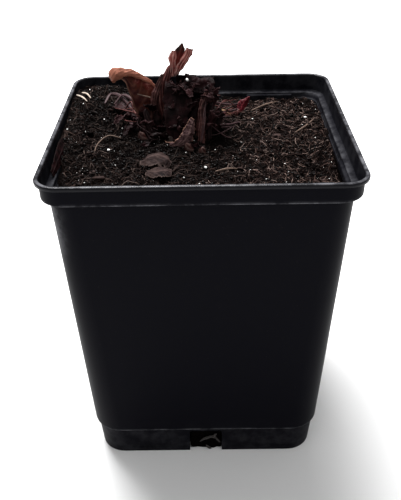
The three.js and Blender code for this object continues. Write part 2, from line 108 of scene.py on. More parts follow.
class ShaderGraph:
    """The nodes of one material, with a short method for each kind that the finishes use."""

    def __init__(self, name: str) -> None:
        """Starts a material with a plain shader."""
        self.material = bpy.data.materials.new(name)
        self.material.use_nodes = True
        self.tree = self.material.node_tree
        self.shader = self.tree.nodes["Principled BSDF"]
        self.place = self.node("ShaderNodeTexCoord").outputs["Object"]

    def node(self, kind: str, **settings: object) -> bpy.types.Node:
        """Adds a node and sets its properties."""
        made = self.tree.nodes.new(kind)
        for key, value in settings.items():
            setattr(made, key, value)
        return made

    def feed(self, socket: bpy.types.NodeSocket, value: object) -> None:
        """Links a value to a socket, or sets it there when it is a plain number or colour."""
        if isinstance(value, bpy.types.NodeSocket):
            self.tree.links.new(value, socket)
        elif isinstance(value, tuple) and socket.type == "RGBA":
            socket.default_value = (*value, 1.0)
        else:
            socket.default_value = value

    def set(self, **values: object) -> None:
        """Feeds the shader's own sockets, named with underscores for spaces."""
        for key, value in values.items():
            self.feed(self.shader.inputs[key.replace("_", " ")], value)

    def stretched(self, scale: Triple) -> bpy.types.NodeSocket:
        """The object's coordinates, squeezed so that a pattern comes out longer one way."""
        mapping = self.node("ShaderNodeMapping")
        self.feed(mapping.inputs["Vector"], self.place)
        mapping.inputs["Scale"].default_value = scale
        return mapping.outputs["Vector"]

    def noise(
        self,
        size_mm: float,
        detail: float = 3.0,
        roughness: float = 0.55,
        vector: bpy.types.NodeSocket | None = None,
    ) -> bpy.types.NodeSocket:
        """Cloudy noise.

        Args:
            size_mm: the width of its patches.
            detail: how many finer layers it has.
            roughness: how strong the finer layers are.
            vector: the coordinates, the object's own if left out.

        Returns:
            The noise as a number from 0 to 1.
        """
        made = self.node("ShaderNodeTexNoise")
        self.feed(made.inputs["Vector"], vector or self.place)
        made.inputs["Scale"].default_value = 1 / mm(size_mm)
        made.inputs["Detail"].default_value = detail
        made.inputs["Roughness"].default_value = roughness
        return made.outputs["Fac"]

    def cells(self, size_mm: float, feature: str = "F1") -> bpy.types.Node:
        """Voronoi cells of a given width."""
        made = self.node("ShaderNodeTexVoronoi", feature=feature)
        self.feed(made.inputs["Vector"], self.place)
        made.inputs["Scale"].default_value = 1 / mm(size_mm)
        return made

    def attribute(self, name: str) -> bpy.types.NodeSocket:
        """A number stored on the mesh's points."""
        return self.node("ShaderNodeAttribute", attribute_name=name).outputs["Fac"]

    def calc(self, operation: str, first: object, second: object = 0.0) -> bpy.types.NodeSocket:
        """Arithmetic on two numbers, kept between 0 and 1."""
        made = self.node("ShaderNodeMath", operation=operation, use_clamp=True)
        self.feed(made.inputs[0], first)
        self.feed(made.inputs[1], second)
        return made.outputs["Value"]

    def spread(
        self, value: bpy.types.NodeSocket, low: float, high: float, start: float, end: float
    ) -> bpy.types.NodeSocket:
        """Maps a number's range from low..high to start..end."""
        made = self.node("ShaderNodeMapRange")
        for socket, number in zip(made.inputs, (value, low, high, start, end)):
            self.feed(socket, number)
        return made.outputs["Result"]

    def ramp(self, value: bpy.types.NodeSocket, stops: Stops) -> bpy.types.NodeSocket:
        """Turns a number into a colour by a row of (place, colour) stops."""
        made = self.node("ShaderNodeValToRGB")
        elements = made.color_ramp.elements
        while len(elements) < len(stops):
            elements.new(1.0)
        for element, (place, colour) in zip(elements, stops):
            element.position = place
            element.color = (*colour, 1.0)
        self.feed(made.inputs["Fac"], value)
        return made.outputs["Color"]

    def mix(self, share: object, first: object, second: object) -> bpy.types.NodeSocket:
        """Mixes two colours."""
        made = self.node("ShaderNodeMix", data_type="RGBA")
        for index, value in ((0, share), (6, first), (7, second)):
            self.feed(made.inputs[index], value)
        return made.outputs[2]

    def bump(self, height: bpy.types.NodeSocket, depth_mm: float, strength: float = 1.0) -> None:
        """Adds relief of a given depth on top of any relief that is already there."""
        made = self.node("ShaderNodeBump")
        self.feed(made.inputs["Height"], height)
        made.inputs["Distance"].default_value = mm(depth_mm)
        made.inputs["Strength"].default_value = strength
        below = self.shader.inputs["Normal"].links
        if below:
            self.feed(made.inputs["Normal"], below[0].from_socket)
        self.feed(self.shader.inputs["Normal"], made.outputs["Normal"])


@dataclass(frozen=True)
class Finish(ABC):
    """A surface finish, made once as a material and shared by its pieces."""

    name: str

    def material(self) -> bpy.types.Material:
        """The finish's material, made at its first use."""
        known = bpy.data.materials.get(self.name)
        if known:
            return known
        graph = ShaderGraph(self.name)
        self.dress(graph)
        return graph.material

    @abstractmethod
    def dress(self, graph: ShaderGraph) -> None:
        """Builds the finish's nodes."""


@dataclass(frozen=True)
class MouldedPlastic(Finish):
    """Near-black polypropylene with a satin skin, dusty, with pale painted highlight lines along its edges
    and pale dust patches.
    """

    skin: Colour = shade(10, 10, 15)
    dust: Colour = shade(52, 49, 48)
    # the pale grey of the painted highlight lines along the pot's edges, also the shade of its dust patches
    pale_dust_and_highlight: Colour = shade(150, 150, 156)
    gloss: float = 0.02
    rough: float = 0.42

    def dress(self, graph: ShaderGraph) -> None:
        """Builds a satin skin whose gloss and dust vary, with painted highlight lines along its edges and
        pale dust patches.
        """
        clouds = graph.noise(34, 4, 0.6)
        streaks = graph.noise(3.2, 4, 0.6, graph.stretched((1, 1, 0.06)))
        specks = graph.noise(0.9, 2, 0.5)
        haze = graph.calc("MULTIPLY", graph.spread(clouds, 0.45, 0.8, 0.0, 0.01), streaks)
        grit = graph.calc("MULTIPLY", graph.spread(specks, 0.7, 0.77, 0, 0.8), clouds)
        dusted = graph.mix(grit, graph.mix(haze, self.skin, self.dust), self.dust)
        # patches that break up the painted highlight lines and the dust
        patchy = graph.spread(graph.noise(9, 4, 0.7), 0.42, 0.62, 0.1, 1.0)
        # how pale each point is painted, stored on the pot: painted highlight lines and dust
        dust_and_highlight_share = graph.calc("MULTIPLY", graph.attribute("dust_and_highlights"), patchy)
        graph.set(
            Base_Color=graph.mix(dust_and_highlight_share, dusted, self.pale_dust_and_highlight),
            Roughness=graph.spread(clouds, 0.3, 0.7, self.rough - 0.01, self.rough + 0.01),
            Specular_IOR_Level=self.gloss,
        )
        graph.bump(graph.noise(0.5, 2, 0.5), 0.012)


@dataclass(frozen=True)
class CompostGround(Finish):
    """Dark peat, lighter and rougher where the piece's stored darkening number is low."""

    # the darkest peat shade, which the stored darkening number also mixes the ground towards
    wet: Colour = shade(5, 4, 4)
    dark: Colour = shade(14, 11, 10)
    light: Colour = shade(24, 16, 14)

    def dress(self, graph: ShaderGraph) -> None:
        """Builds crumbly ground in three shades of brown."""
        crumbs = graph.noise(1.1, 5, 0.7)
        ground = graph.ramp(crumbs, ((0.32, self.wet), (0.52, self.dark), (0.78, self.light)))
        darkening = graph.attribute("darkening")
        graph.set(
            Base_Color=graph.mix(graph.calc("MULTIPLY", darkening, 0.8), ground, self.wet),
            Roughness=graph.spread(darkening, 0, 1, 0.95, 0.6),
            Specular_IOR_Level=0.0,
        )
        graph.bump(graph.noise(0.9, 5, 0.75), 0.7)


@dataclass(frozen=True)
class LooseLitter(Finish):
    """Loose bits of which each has one shade out of a range, darker where the piece's stored darkening number
    is high.
    """

    stops: Stops
    rough: float = 0.55
    gloss: float = 0.03
    darkening_share: float = 0.85

    def dress(self, graph: ShaderGraph) -> None:
        """Gives each loose bit its own shade."""
        each = graph.node("ShaderNodeNewGeometry").outputs["Random Per Island"]
        own = graph.ramp(each, self.stops)
        mottled = graph.mix(graph.spread(graph.noise(0.7, 3), 0.4, 0.7, 0, 0.5), own, self.stops[0][1])
        # darker towards the first stop by the piece's stored darkening number
        darkening = graph.calc("MULTIPLY", graph.attribute("darkening"), self.darkening_share)
        graph.set(
            Base_Color=graph.mix(darkening, mottled, self.stops[0][1]),
            Roughness=self.rough,
            Specular_IOR_Level=self.gloss,
        )
        graph.bump(graph.noise(0.35, 3), 0.1)


@dataclass(frozen=True)
class LeafSkin(Finish):
    """Leaf tissue whose colour follows the piece's tint attribute, with rims and veins."""

    stops: Stops
    rim: Colour
    vein: Colour
    rough: float = 0.55
    gloss: float = 0.16
    patchiness: float = 0.5
    patch_mm: float = 3.0
    vein_share: float = 0.5

    def dress(self, graph: ShaderGraph) -> None:
        """Builds mottled tissue with paler veins and dried rims."""
        patches = graph.spread(graph.noise(self.patch_mm, 5, 0.65), 0.25, 0.75, 0, self.patchiness)
        tint = graph.calc("ADD", graph.attribute("tint"), patches)
        tissue = graph.ramp(graph.calc("SUBTRACT", tint, self.patchiness / 2), self.stops)
        veins = graph.calc("MULTIPLY", graph.attribute("vein"), self.vein_share)
        veined = graph.mix(veins, tissue, self.vein)
        uneven = graph.spread(patches, 0, self.patchiness, 0.5, 1)
        rims = graph.calc("MULTIPLY", graph.attribute("rim"), uneven)
        graph.set(
            Base_Color=graph.mix(rims, veined, self.rim),
            Roughness=graph.spread(graph.noise(1.6, 3), 0.3, 0.7, self.rough - 0.12, self.rough + 0.1),
            Specular_IOR_Level=self.gloss,
        )
        graph.bump(graph.noise(0.8, 4, 0.65), 0.22)


@dataclass(frozen=True)
class FibrousSkin(Finish):
    """Stalk or twig skin with long strands along it."""

    stops: Stops
    rough: float = 0.55
    gloss: float = 0.16
    strand_depth: float = 0.12

    def dress(self, graph: ShaderGraph) -> None:
        """Builds strands that follow the piece's own length."""
        strands = graph.attribute("strand")
        mottle = graph.noise(1.4, 4, 0.65)
        mixed = graph.calc("ADD", graph.calc("MULTIPLY", strands, 0.55), graph.calc("MULTIPLY", mottle, 0.5))
        graph.set(
            Base_Color=graph.ramp(mixed, self.stops),
            Roughness=graph.spread(mottle, 0.3, 0.7, self.rough - 0.1, self.rough + 0.1),
            Specular_IOR_Level=self.gloss,
        )
        graph.bump(graph.noise(0.5, 3), self.strand_depth)


@dataclass(frozen=True)
class PorousStone(Finish):
    """Expanded perlite, white and full of pores."""

    white: Colour = shade(232, 230, 226)
    pore: Colour = shade(150, 142, 134)

    def dress(self, graph: ShaderGraph) -> None:
        """Builds white stone with small grey pores."""
        pores = graph.cells(0.45).outputs["Distance"]
        graph.set(
            Base_Color=graph.ramp(pores, ((0.05, self.pore), (0.35, self.white))),
            Roughness=0.9,
            Specular_IOR_Level=0.3,
        )
        graph.bump(pores, 0.15)


@dataclass(frozen=True)
class StudioPaper(Finish):
    """The plain pale floor."""

    paper: Colour = shade(250, 250, 250)

    def dress(self, graph: ShaderGraph) -> None:
        """Builds matt paper with a faint grain."""
        grain = graph.spread(graph.noise(40, 2), 0, 1, 0, 0.02)
        graph.set(Base_Color=graph.mix(grain, self.paper, shade(232, 232, 232)), Roughness=1.0)
        graph.set(Specular_IOR_Level=0.0)


POT_PLASTIC = MouldedPlastic("pot plastic")
LIP_PLASTIC = MouldedPlastic("polished lip plastic", gloss=0.12, rough=0.24)
COMPOST_GROUND = CompostGround("compost ground")
PERLITE = PorousStone("perlite")
FIBRE_LITTER = LooseLitter(
    "compost fibres",
    tones((0, 8, 5, 4), (0.3, 18, 11, 10), (0.6, 42, 29, 26), (0.85, 84, 66, 60), (1.0, 142, 122, 114)),
)
CRUMB_LITTER = LooseLitter(
    "compost crumbs",
    tones((0, 4, 3, 3), (0.55, 12, 8, 7), (0.88, 29, 20, 18), (1.0, 74, 59, 54)),
    rough=0.35, gloss=0.1,
)
BARK_LITTER = LooseLitter(
    "bark flakes",
    tones((0, 7, 5, 5), (0.45, 18, 12, 11), (0.8, 38, 27, 25), (1.0, 70, 56, 53)),
    darkening_share=0.5,
)
STRAW_SKIN = FibrousSkin(
    "dry straw",
    tones((0.2, 50, 37, 31), (0.5, 94, 76, 66), (0.85, 135, 116, 105)),
    rough=0.7,
)
STALK_SKIN = FibrousSkin(
    "ridged young stalk",
    tones((0.2, 24, 8, 9), (0.45, 58, 24, 24), (0.68, 104, 62, 58), (0.9, 156, 116, 108)),
    rough=0.5,
)
MAUVE_SKIN = FibrousSkin(
    "limp mauve stem",
    tones((0.2, 24, 14, 15), (0.5, 57, 38, 41), (0.85, 94, 73, 73)),
    rough=0.55,
)
WET_SKIN = FibrousSkin(
    "wet dark stalk",
    tones((0.2, 8, 4, 5), (0.5, 24, 13, 14), (0.85, 52, 35, 36)),
    gloss=0.08,
)
PALE_STRAW_SKIN = FibrousSkin(
    "pale straw",
    tones((0.2, 120, 100, 88), (0.5, 188, 172, 158), (0.85, 228, 218, 206)),
    rough=0.7,
)
ROOTLET_SKIN = FibrousSkin(
    "grey rootlets",
    tones((0.2, 26, 24, 23), (0.5, 56, 53, 52), (0.85, 89, 85, 82)),
    rough=0.8,
)
ROOT_SKIN = FibrousSkin(
    "rootstock bark",
    tones((0.2, 11, 7, 6), (0.55, 32, 20, 16), (0.85, 59, 41, 34)),
    rough=0.7,
)
BUD_SKIN = FibrousSkin(
    "bud scales",
    tones((0.2, 35, 14, 14), (0.5, 64, 39, 36), (0.85, 99, 83, 78)),
    rough=0.45,
)
YOUNG_LEAF = LeafSkin(
    "young pink leaf",
    tones((0, 52, 20, 20), (0.25, 88, 30, 29), (0.5, 138, 68, 62), (0.84, 134, 78, 72), (0.97, 46, 22, 20)),
    rim=shade(22, 7, 6), vein=shade(216, 166, 156), patchiness=0.8, gloss=0.1,
)
YOUNG_LEAF_DARK = LeafSkin(
    "young dark red leaf",
    tones((0, 70, 22, 20), (0.35, 92, 24, 20), (0.6, 72, 14, 14), (0.76, 28, 16, 12), (1.0, 10, 12, 9)),
    rim=shade(16, 10, 8), vein=shade(116, 52, 42), patchiness=0.3,
)
# the dark low stops colour the curled leaf's face towards its foot: partly the dying leaf's own maroon,
# partly painted shade under the roll
TAN_LEAF = LeafSkin(
    "dying tan leaf",
    tones(
        (0, 38, 15, 17), (0.22, 58, 24, 23), (0.42, 88, 44, 32), (0.56, 96, 32, 30),
        (0.68, 166, 104, 92), (0.82, 150, 94, 72), (1.0, 128, 92, 56),
    ),
    rim=shade(150, 108, 90), vein=shade(150, 100, 82), patchiness=0.42, vein_share=0.35,
)
WET_LEAF = LeafSkin(
    "wet dark leaf",
    tones((0, 6, 2, 2), (0.45, 14, 5, 6), (0.75, 28, 10, 12), (1.0, 44, 23, 24)),
    rim=shade(24, 12, 12), vein=shade(24, 12, 12), rough=0.5, patchiness=0.6, gloss=0.04,
)
DRY_LEAF = LeafSkin(
    "dead grey-pink leaf",
    tones((0, 11, 8, 8), (0.35, 28, 19, 19), (0.7, 46, 35, 33), (1.0, 69, 58, 55)),
    rim=shade(88, 74, 70), vein=shade(84, 68, 64), rough=0.7, patchiness=0.6, gloss=0.04,
)
MAUVE_LEAF = LeafSkin(
    "limp mauve leaf",
    tones((0, 14, 6, 7), (0.45, 34, 17, 19), (0.8, 54, 32, 34), (1.0, 86, 62, 62)),
    rim=shade(62, 42, 42), vein=shade(70, 46, 47), rough=0.5, patchiness=0.6, gloss=0.06,
)
CRESCENT_LEAF = LeafSkin(
    "speckled dead leaf",
    tones((0, 23, 11, 13), (0.35, 53, 34, 36), (0.7, 93, 70, 70), (1.0, 142, 120, 114)),
    rim=shade(148, 112, 96), vein=shade(120, 96, 92), rough=0.6, gloss=0.08, patchiness=0.8,
    patch_mm=1.4,
)
CRIMSON_LEAF = LeafSkin(
    "crimson new leaf",
    tones((0, 34, 3, 9), (0.45, 61, 6, 15), (0.8, 88, 18, 27), (1.0, 104, 42, 46)),
    rim=shade(130, 62, 66), vein=shade(130, 46, 54), rough=0.45, patchiness=0.35,
)
SHEATH_LEAF = LeafSkin(
    "red-brown sheath",
    tones((0, 16, 6, 7), (0.4, 36, 16, 16), (0.75, 66, 38, 37), (1.0, 112, 84, 80)),
    rim=shade(80, 54, 50), vein=shade(98, 68, 64), rough=0.5, gloss=0.08, patchiness=0.7,
)
STRAW_LEAF = LeafSkin(
    "pale dry flake",
    tones((0, 110, 84, 60), (0.5, 168, 138, 104), (1.0, 204, 180, 146)),
    rim=shade(96, 74, 56), vein=shade(200, 176, 142), rough=0.7,
)


# ---- making meshes ----


def add_to_scene(made: bpy.types.Object) -> None:
    """Puts an object in the scene."""
    bpy.context.scene.collection.objects.link(made)


def as_object(name: str, shape: bmesh.types.BMesh) -> bpy.types.Object:
    """Turns a shape into an object, which isn't in the scene yet."""
    mesh = bpy.data.meshes.new(name)
    shape.to_mesh(mesh)
    shape.free()
    return bpy.data.objects.new(name, mesh)


def store(mesh: bpy.types.Mesh, key: str, values: Sequence[float]) -> None:
    """Stores one number on each point of a mesh, for its finish to read."""
    mesh.attributes.new(key, "FLOAT", "POINT").data.foreach_set("value", list(values))


def node_box(node: str) -> tuple[Vector, Vector]:
    """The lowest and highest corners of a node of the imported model, in millimetres."""
    low, high = (Vector(corner) * 1000 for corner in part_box(node))
    return low, high


def add_piece(
    name: str,
    vertices: Sequence[Sequence[float]],
    faces: Sequence[Sequence[int]],
    finish: Finish,
    replaces: Sequence[str] = (),
    attributes: dict[str, Sequence[float]] | None = None,
) -> bpy.types.Object:
    """Makes one smooth piece that stands in the pot.

    Args:
        name: the piece's name.
        vertices: its points, in metres.
        faces: its faces, as rows of point numbers.
        finish: what it is made of.
        replaces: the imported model's nodes that it stands for.
        attributes: numbers stored on its points for the finish to read.

    Returns:
        The piece.
    """
    mesh = bpy.data.meshes.new(name)
    mesh.from_pydata([tuple(v) for v in vertices], [], [tuple(f) for f in faces])
    mesh.shade_smooth()
    for key, values in (attributes or {}).items():
        store(mesh, key, values)
    piece = bpy.data.objects.new(name, mesh)
    return adopt_piece(piece, finish, replaces)


def adopt_piece(
    piece: bpy.types.Object, finish: Finish, replaces: Sequence[str] = ()
) -> bpy.types.Object:
    """Dresses a piece and stands it in the pot."""
    piece.data.materials.clear()
    piece.data.materials.append(finish.material())
    if piece.name not in bpy.context.scene.collection.objects:
        add_to_scene(piece)
    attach(piece, "root")
    if replaces:
        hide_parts(*replaces)
    LOG.info("%s: %d faces", piece.name, len(piece.data.polygons))
    return piece


def thicken(sheet: bpy.types.Object, thickness: float) -> None:
    """Makes a sheet a closed body of a thickness in millimetres."""
    body = sheet.modifiers.new("body", "SOLIDIFY")
    body.thickness = mm(thickness)
    body.offset = 0.0


def spline(points: Sequence[Vector], share: float) -> Vector:
    """A point of the smooth curve through the given points, from share 0 to 1."""
    last = len(points) - 1
    place = min(max(share, 0.0), 1.0) * last
    start = min(int(place), last - 1)
    t = place - start
    p1, p2 = points[start], points[start + 1]
    p0 = points[start - 1] if start else p1 * 2 - p2
    p3 = points[start + 2] if start + 2 <= last else p2 * 2 - p1
    bend = 2 * p0 - 5 * p1 + 4 * p2 - p3
    twist = 3 * (p1 - p2) + p3 - p0
    return 0.5 * (2 * p1 + (p2 - p0) * t + bend * t * t + twist * t * t * t)


def between(values: Sequence[float], share: float) -> float:
    """A value of an evenly spaced row, smoothed between its entries."""
    return spline([Vector((value, 0, 0)) for value in values], share).x


def wobble(place: Vector, size_mm: float, seed: int, octaves: int = 3) -> float:
    """Smooth noise about 0, roughly from -1 to 1, with features of a given size."""
    spot = place / mm(size_mm) + Vector((seed * 7.31, seed * 3.17, seed * 5.93))
    return noise.fractal(spot, 1.0, 2.0, octaves)


@dataclass(frozen=True)
class Grid:
    """The faces of a sheet or tube whose points are laid out in rows."""

    rows: int
    columns: int

    def sheet_faces(self) -> list[tuple[int, ...]]:
        """The quads of an open sheet."""
        faces = []
        for row in range(self.rows - 1):
            for column in range(self.columns - 1):
                corner = row * self.columns + column
                faces.append((corner, corner + 1, corner + 1 + self.columns, corner + self.columns))
        return faces

    def tube_faces(self) -> list[tuple[int, ...]]:
        """The quads of a tube whose columns close on themselves, with both ends capped."""
        faces = []
        for row in range(self.rows - 1):
            for column in range(self.columns):
                after = (column + 1) % self.columns
                here, there = row * self.columns, (row + 1) * self.columns
                faces.append((here + column, here + after, there + after, there + column))
        last = (self.rows - 1) * self.columns
        faces.append(tuple(range(self.columns))[::-1])
        faces.append(tuple(last + column for column in range(self.columns)))
        return faces


class Crown:
    """Where the crown's stalks meet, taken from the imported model."""

    def __init__(self) -> None:
        """Finds the meeting point inside the crown's box."""
        low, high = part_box("crown")
        self.top = Vector((low[0] + mm(24), low[1] + mm(21), high[2] - mm(5.5)))

    def at(self, place: Triple) -> Vector:
        """A point given in millimetres from the crown."""
        return self.top + Vector(place) * 0.001


CROWN = Crown()


# ---- the pot ----


@dataclass
class NurseryPot:
    """The square pot, with its lip, collar, ledges, lugs, foot band, notches and holes."""

    recess: float = 2.8
    wall: float = 1.2
    foot_half: float = 61.0
    foot_ring: float = 4.0
    foot_height: float = 19.8
    band_half: float = 62.8
    body_foot_half: float = 64.3
    body_top_half: float = 72.4
    ledge: float = 170.0
    collar_half: float = 75.8
    lip_height: float = 2.3
    lip_width: float = 2.3
    top_corner: float = 12.5
    foot_corner: float = 17.0
    notch: Triple = (18.6, 12.0, 17.0)
    lug_from: float = 28.0
    lug_to: float = 56.0
    lug_height: float = 4.5
    lug_proud: float = 1.8
    corner_steps: int = 12
    side_steps: int = 12
    fillet_steps: int = 4
    # the pale share near the foot, and an even pale wash on all inside surfaces, partly dust and partly
    # painted light on the dim inside
    dust: float = 0.035
    # strengths of the painted highlight lines on the lip's crest, the inner ledge's edge, the collar's lower
    # edge and the step above the foot band
    crest_highlight: float = 0.34
    ledge_highlight: float = 0.16
    collar_highlight: float = 0.3
    foot_highlight: float = 0.55
    scuff_wear: float = 0.3
    scuff: Triple = (-69, -64, 155)
    floor_holes_at: tuple[Triple, ...] = (
        (0, 0, 7), (36, 36, 5), (-36, 36, 5), (-36, -36, 5), (36, -36, 5)
    )

    def __post_init__(self) -> None:
        """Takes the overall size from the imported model."""
        low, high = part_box("pot")
        self.rim_half = (high[0] - low[0]) * 500
        self.height = high[2] * 1000

    def corners(self) -> list[Triple]:
        """The profile's corners as (half width, height, fillet radius), from axis to axis."""
        rim, top, inner_foot = self.rim_half, self.height, self.foot_half - self.foot_ring
        lip_foot = top - self.lip_height
        inner_lip = rim - self.lip_width
        inner_collar = self.collar_half - self.wall
        inner_body = self.body_top_half - self.wall
        floor = self.recess + self.wall
        return [
            (0, self.recess, 0),
            (inner_foot - 0.6, self.recess, 0.6),
            (inner_foot, 0, 0.5),
            (self.foot_half, 0, 0.9),
            (self.band_half, self.foot_height - 0.8, 0.3),
            (self.body_foot_half, self.foot_height, 0.8),
            (self.body_top_half, self.ledge, 0.8),
            (self.collar_half - 0.2, self.ledge + 0.1, 1.0),
            (self.collar_half, lip_foot - 0.3, 0.5),
            (rim, lip_foot, 0.8),
            (rim, top, 1.05),
            (inner_lip, top, 1.0),
            (inner_collar, self.ledge + self.wall + 0.2, 0.7),
            (inner_body + 0.2, self.ledge + self.wall - 0.4, 0.6),
            (inner_body, self.ledge - 1.8, 0.4),
            (inner_body - 1, self.ledge - 2.3, 0.4),
            (self.body_foot_half - self.wall, self.foot_height + 0.4, 0.8),
            (self.band_half - self.wall, self.foot_height - 1.2, 0.5),
            (self.foot_half - self.wall - 0.4, floor, 1.2),
            (0, floor, 0),
        ]

    def profile(self) -> list[tuple[float, float]]:
        """The profile with each corner rounded off."""
        corners = self.corners()
        outline = [corners[0][:2]]
        for before, here, after in zip(corners, corners[1:], corners[2:]):
            point = Vector(here[:2])
            to_before, to_after = Vector(before[:2]) - point, Vector(after[:2]) - point
            angle = to_before.angle(to_after)
            reach = min(here[2] / math.tan(angle / 2), to_before.length * 0.45, to_after.length * 0.45)
            start = point + to_before.normalized() * reach
            end = point + to_after.normalized() * reach
            for step in range(self.fillet_steps + 1):
                t = step / self.fillet_steps
                bend = start * (1 - t) ** 2 + point * (2 * t * (1 - t)) + end * t * t
                outline.append((bend.x, bend.y))
        outline.append(corners[-1][:2])
        return outline

    def outer_half(self, height: float) -> float:
        """Half the width outside, at a height."""
        if height > self.height - self.lip_height:
            return self.rim_half
        if height > self.ledge:
            return self.collar_half
        share = max(height - self.foot_height, 0) / (self.ledge - self.foot_height)
        return self.body_foot_half + share * (self.body_top_half - self.body_foot_half)

    def inner_half(self, height: float) -> float:
        """Half the width inside, at a height."""
        return self.outer_half(min(height, self.ledge - 2.5)) - self.wall - 1

    def corner_at(self, height: float) -> float:
        """The radius of the pot's upright corners, at a height."""
        return self.foot_corner + height / self.height * (self.top_corner - self.foot_corner)

    def outline(self, half: float, height: float) -> list[Vector]:
        """A square with round corners and very slightly bowed sides, as points in millimetres."""
        share = height / self.height
        corner = min(max(self.corner_at(height) - (self.outer_half(height) - half), 1.0), half)
        bow = 0.7 * math.sin(math.pi * min(share, 1.0)) * (half / self.rim_half)
        points = []
        for side in range(4):
            turn = Matrix.Rotation(side * math.pi / 2, 3, "Z")
            for step in range(self.corner_steps):
                angle = (step / self.corner_steps) * math.pi / 2
                inset = half - corner
                bend = Vector((inset + corner * math.cos(angle), inset + corner * math.sin(angle), height))
                points.append(turn @ bend)
            for step in range(self.side_steps):
                t = step / self.side_steps
                across = (1 - 2 * t) * (half - corner)
                dent = bow * math.sin(math.pi * t) ** 2
                points.append(turn @ Vector((across, half - dent, height)))
        return points

    @staticmethod
    def steady(rings: list[list[Vector]]) -> list[list[Vector]]:
        """Adds rings along the tall walls, which keeps the painted highlight lines and the dust on an edge
        close to that edge.
        """
        steadied = [rings[0]]
        for lower, upper in zip(rings, rings[1:]):
            span = (upper[0] - lower[0]).length
            if span > 3:
                count = int(span / 9) + 1
                shares = [1 / span, *(step / count for step in range(1, count)), 1 - 1 / span]
                steadied += [[a.lerp(b, share) for a, b in zip(lower, upper)] for share in shares]
            steadied.append(upper)
        return steadied

    def shell(self) -> bpy.types.Object:
        """The pot's shell, before anything is cut or added."""
        profile = self.profile()
        rings = self.steady([self.outline(half, height) for half, height in profile[1:-1]])
        grid = Grid(len(rings), len(rings[0]))
        vertices = [point * 0.001 for ring in rings for point in ring]
        mesh = bpy.data.meshes.new("pot")
        mesh.from_pydata([tuple(v) for v in vertices], [], grid.tube_faces())
        return bpy.data.objects.new("nursery_pot", mesh)

    def round_block(self, size: Triple, centre: Triple, radius: float) -> bmesh.types.BMesh:
        """A block with rounded edges, in metres."""
        block = bmesh.new()
        bmesh.ops.create_cube(block, size=1.0)
        bmesh.ops.scale(block, vec=Vector(size) * 0.001, verts=block.verts)
        bmesh.ops.bevel(
            block, geom=list(block.edges), offset=mm(radius), segments=3, profile=0.5, affect="EDGES"
        )
        bmesh.ops.translate(block, vec=Vector(centre) * 0.001, verts=block.verts)
        return block

    def four_round(self, name: str, make: Callable[[], bmesh.types.BMesh]) -> bpy.types.Object:
        """One object with four copies of a block, one on each side of the pot."""
        joined = bmesh.new()
        for side in range(4):
            block = make()
            bmesh.ops.rotate(
                block, cent=(0, 0, 0), matrix=Matrix.Rotation(side * math.pi / 2, 3, "Z"), verts=block.verts
            )
            copy = bpy.data.meshes.new(name)
            block.to_mesh(copy)
            joined.from_mesh(copy)
            bpy.data.meshes.remove(copy)
            block.free()
        return as_object(name, joined)

    def lug(self) -> bmesh.types.BMesh:
        """A stacking lug under the ledge."""
        length = self.lug_to - self.lug_from
        reach = self.lug_proud + self.wall / 2
        inner = self.body_top_half - self.wall - self.lug_proud
        centre = ((self.lug_from + self.lug_to) / 2, inner + reach / 2, self.ledge - self.lug_height / 2)
        return self.round_block((length, reach, self.lug_height), centre, 0.8)

    def drain_notch(self) -> bmesh.types.BMesh:
        """What is cut out of the foot in the middle of a side."""
        width, depth, height = self.notch
        size = (width, depth, height + 10)
        return self.round_block(size, (0, self.body_foot_half - depth / 2, height / 2 - 5), 1.6)

    def floor_holes(self) -> bpy.types.Object:
        """What is cut out of the floor."""
        drills = bmesh.new()
        for x, y, radius in self.floor_holes_at:
            place = Matrix.Translation((mm(x), mm(y), mm(3)))
            bmesh.ops.create_cone(
                drills, cap_ends=True, segments=40, radius1=mm(radius), radius2=mm(radius),
                depth=mm(10), matrix=place,
            )
        return as_object("floor_holes", drills)

    def build(self) -> bpy.types.Object:
        """Builds the pot and dresses it.

        Returns:
            The pot.
        """
        pot = self.shell()
        add_to_scene(pot)
        steps = (
            ("UNION", self.four_round("lugs", self.lug)),
            ("DIFFERENCE", self.four_round("notches", self.drain_notch)),
            ("DIFFERENCE", self.floor_holes()),
        )
        for operation, tool in steps:
            add_to_scene(tool)
            cut = pot.modifiers.new(operation, "BOOLEAN")
            cut.operation = operation
            cut.object = tool
            cut.solver = "EXACT"
            bake_modifiers(pot)
            bpy.data.objects.remove(tool)
        pot.data.shade_smooth()
        pot.data.set_sharp_from_angle(angle=math.radians(42))
        even = pot.modifiers.new("even light", "WEIGHTED_NORMAL")
        even.keep_sharp = True
        # stores the painted highlight lines and the dust for the plastic's finish
        store(pot.data, "dust_and_highlights", [self.dust_and_highlights_at(vertex.co * 1000) for vertex in pot.data.vertices])
        adopt_piece(pot, POT_PLASTIC, ["pot"])
        self.polish_lip(pot)
        return pot

    def dust_and_highlights_at(self, spot: Vector) -> float:
        """How pale a point is painted: painted highlight lines on the lip's crest, the inner ledge and the
        outer edges, dust near the foot and in a patch on the front, and an even pale wash inside that is
        partly dust and partly painted light.
        """
        inset = self.outer_half(spot.z) - self.corner_at(spot.z)
        reach = inset + math.hypot(max(abs(spot.x) - inset, 0), max(abs(spot.y) - inset, 0))
        # painted highlight line along the lip's crest
        crest = self.crest_highlight * math.exp(-(((spot.z - self.height) / 0.25) ** 2))
        if reach < self.outer_half(spot.z) - 0.9:
            edge = self.body_top_half - self.wall + 0.4
            above = 1 if spot.z > self.ledge else 0
            # painted highlight line along the inner ledge's edge
            ledge = above * self.ledge_highlight * math.exp(-(((reach - edge) / 0.5) ** 2))
            # inside, every point gets at least the even pale wash, partly dust and partly painted light on
            # the dim walls
            return max(crest, ledge, self.dust)
        # painted highlight line along the collar's lower edge
        collar = self.collar_highlight * math.exp(-(((spot.z - self.ledge - 0.5) / 0.45) ** 2))
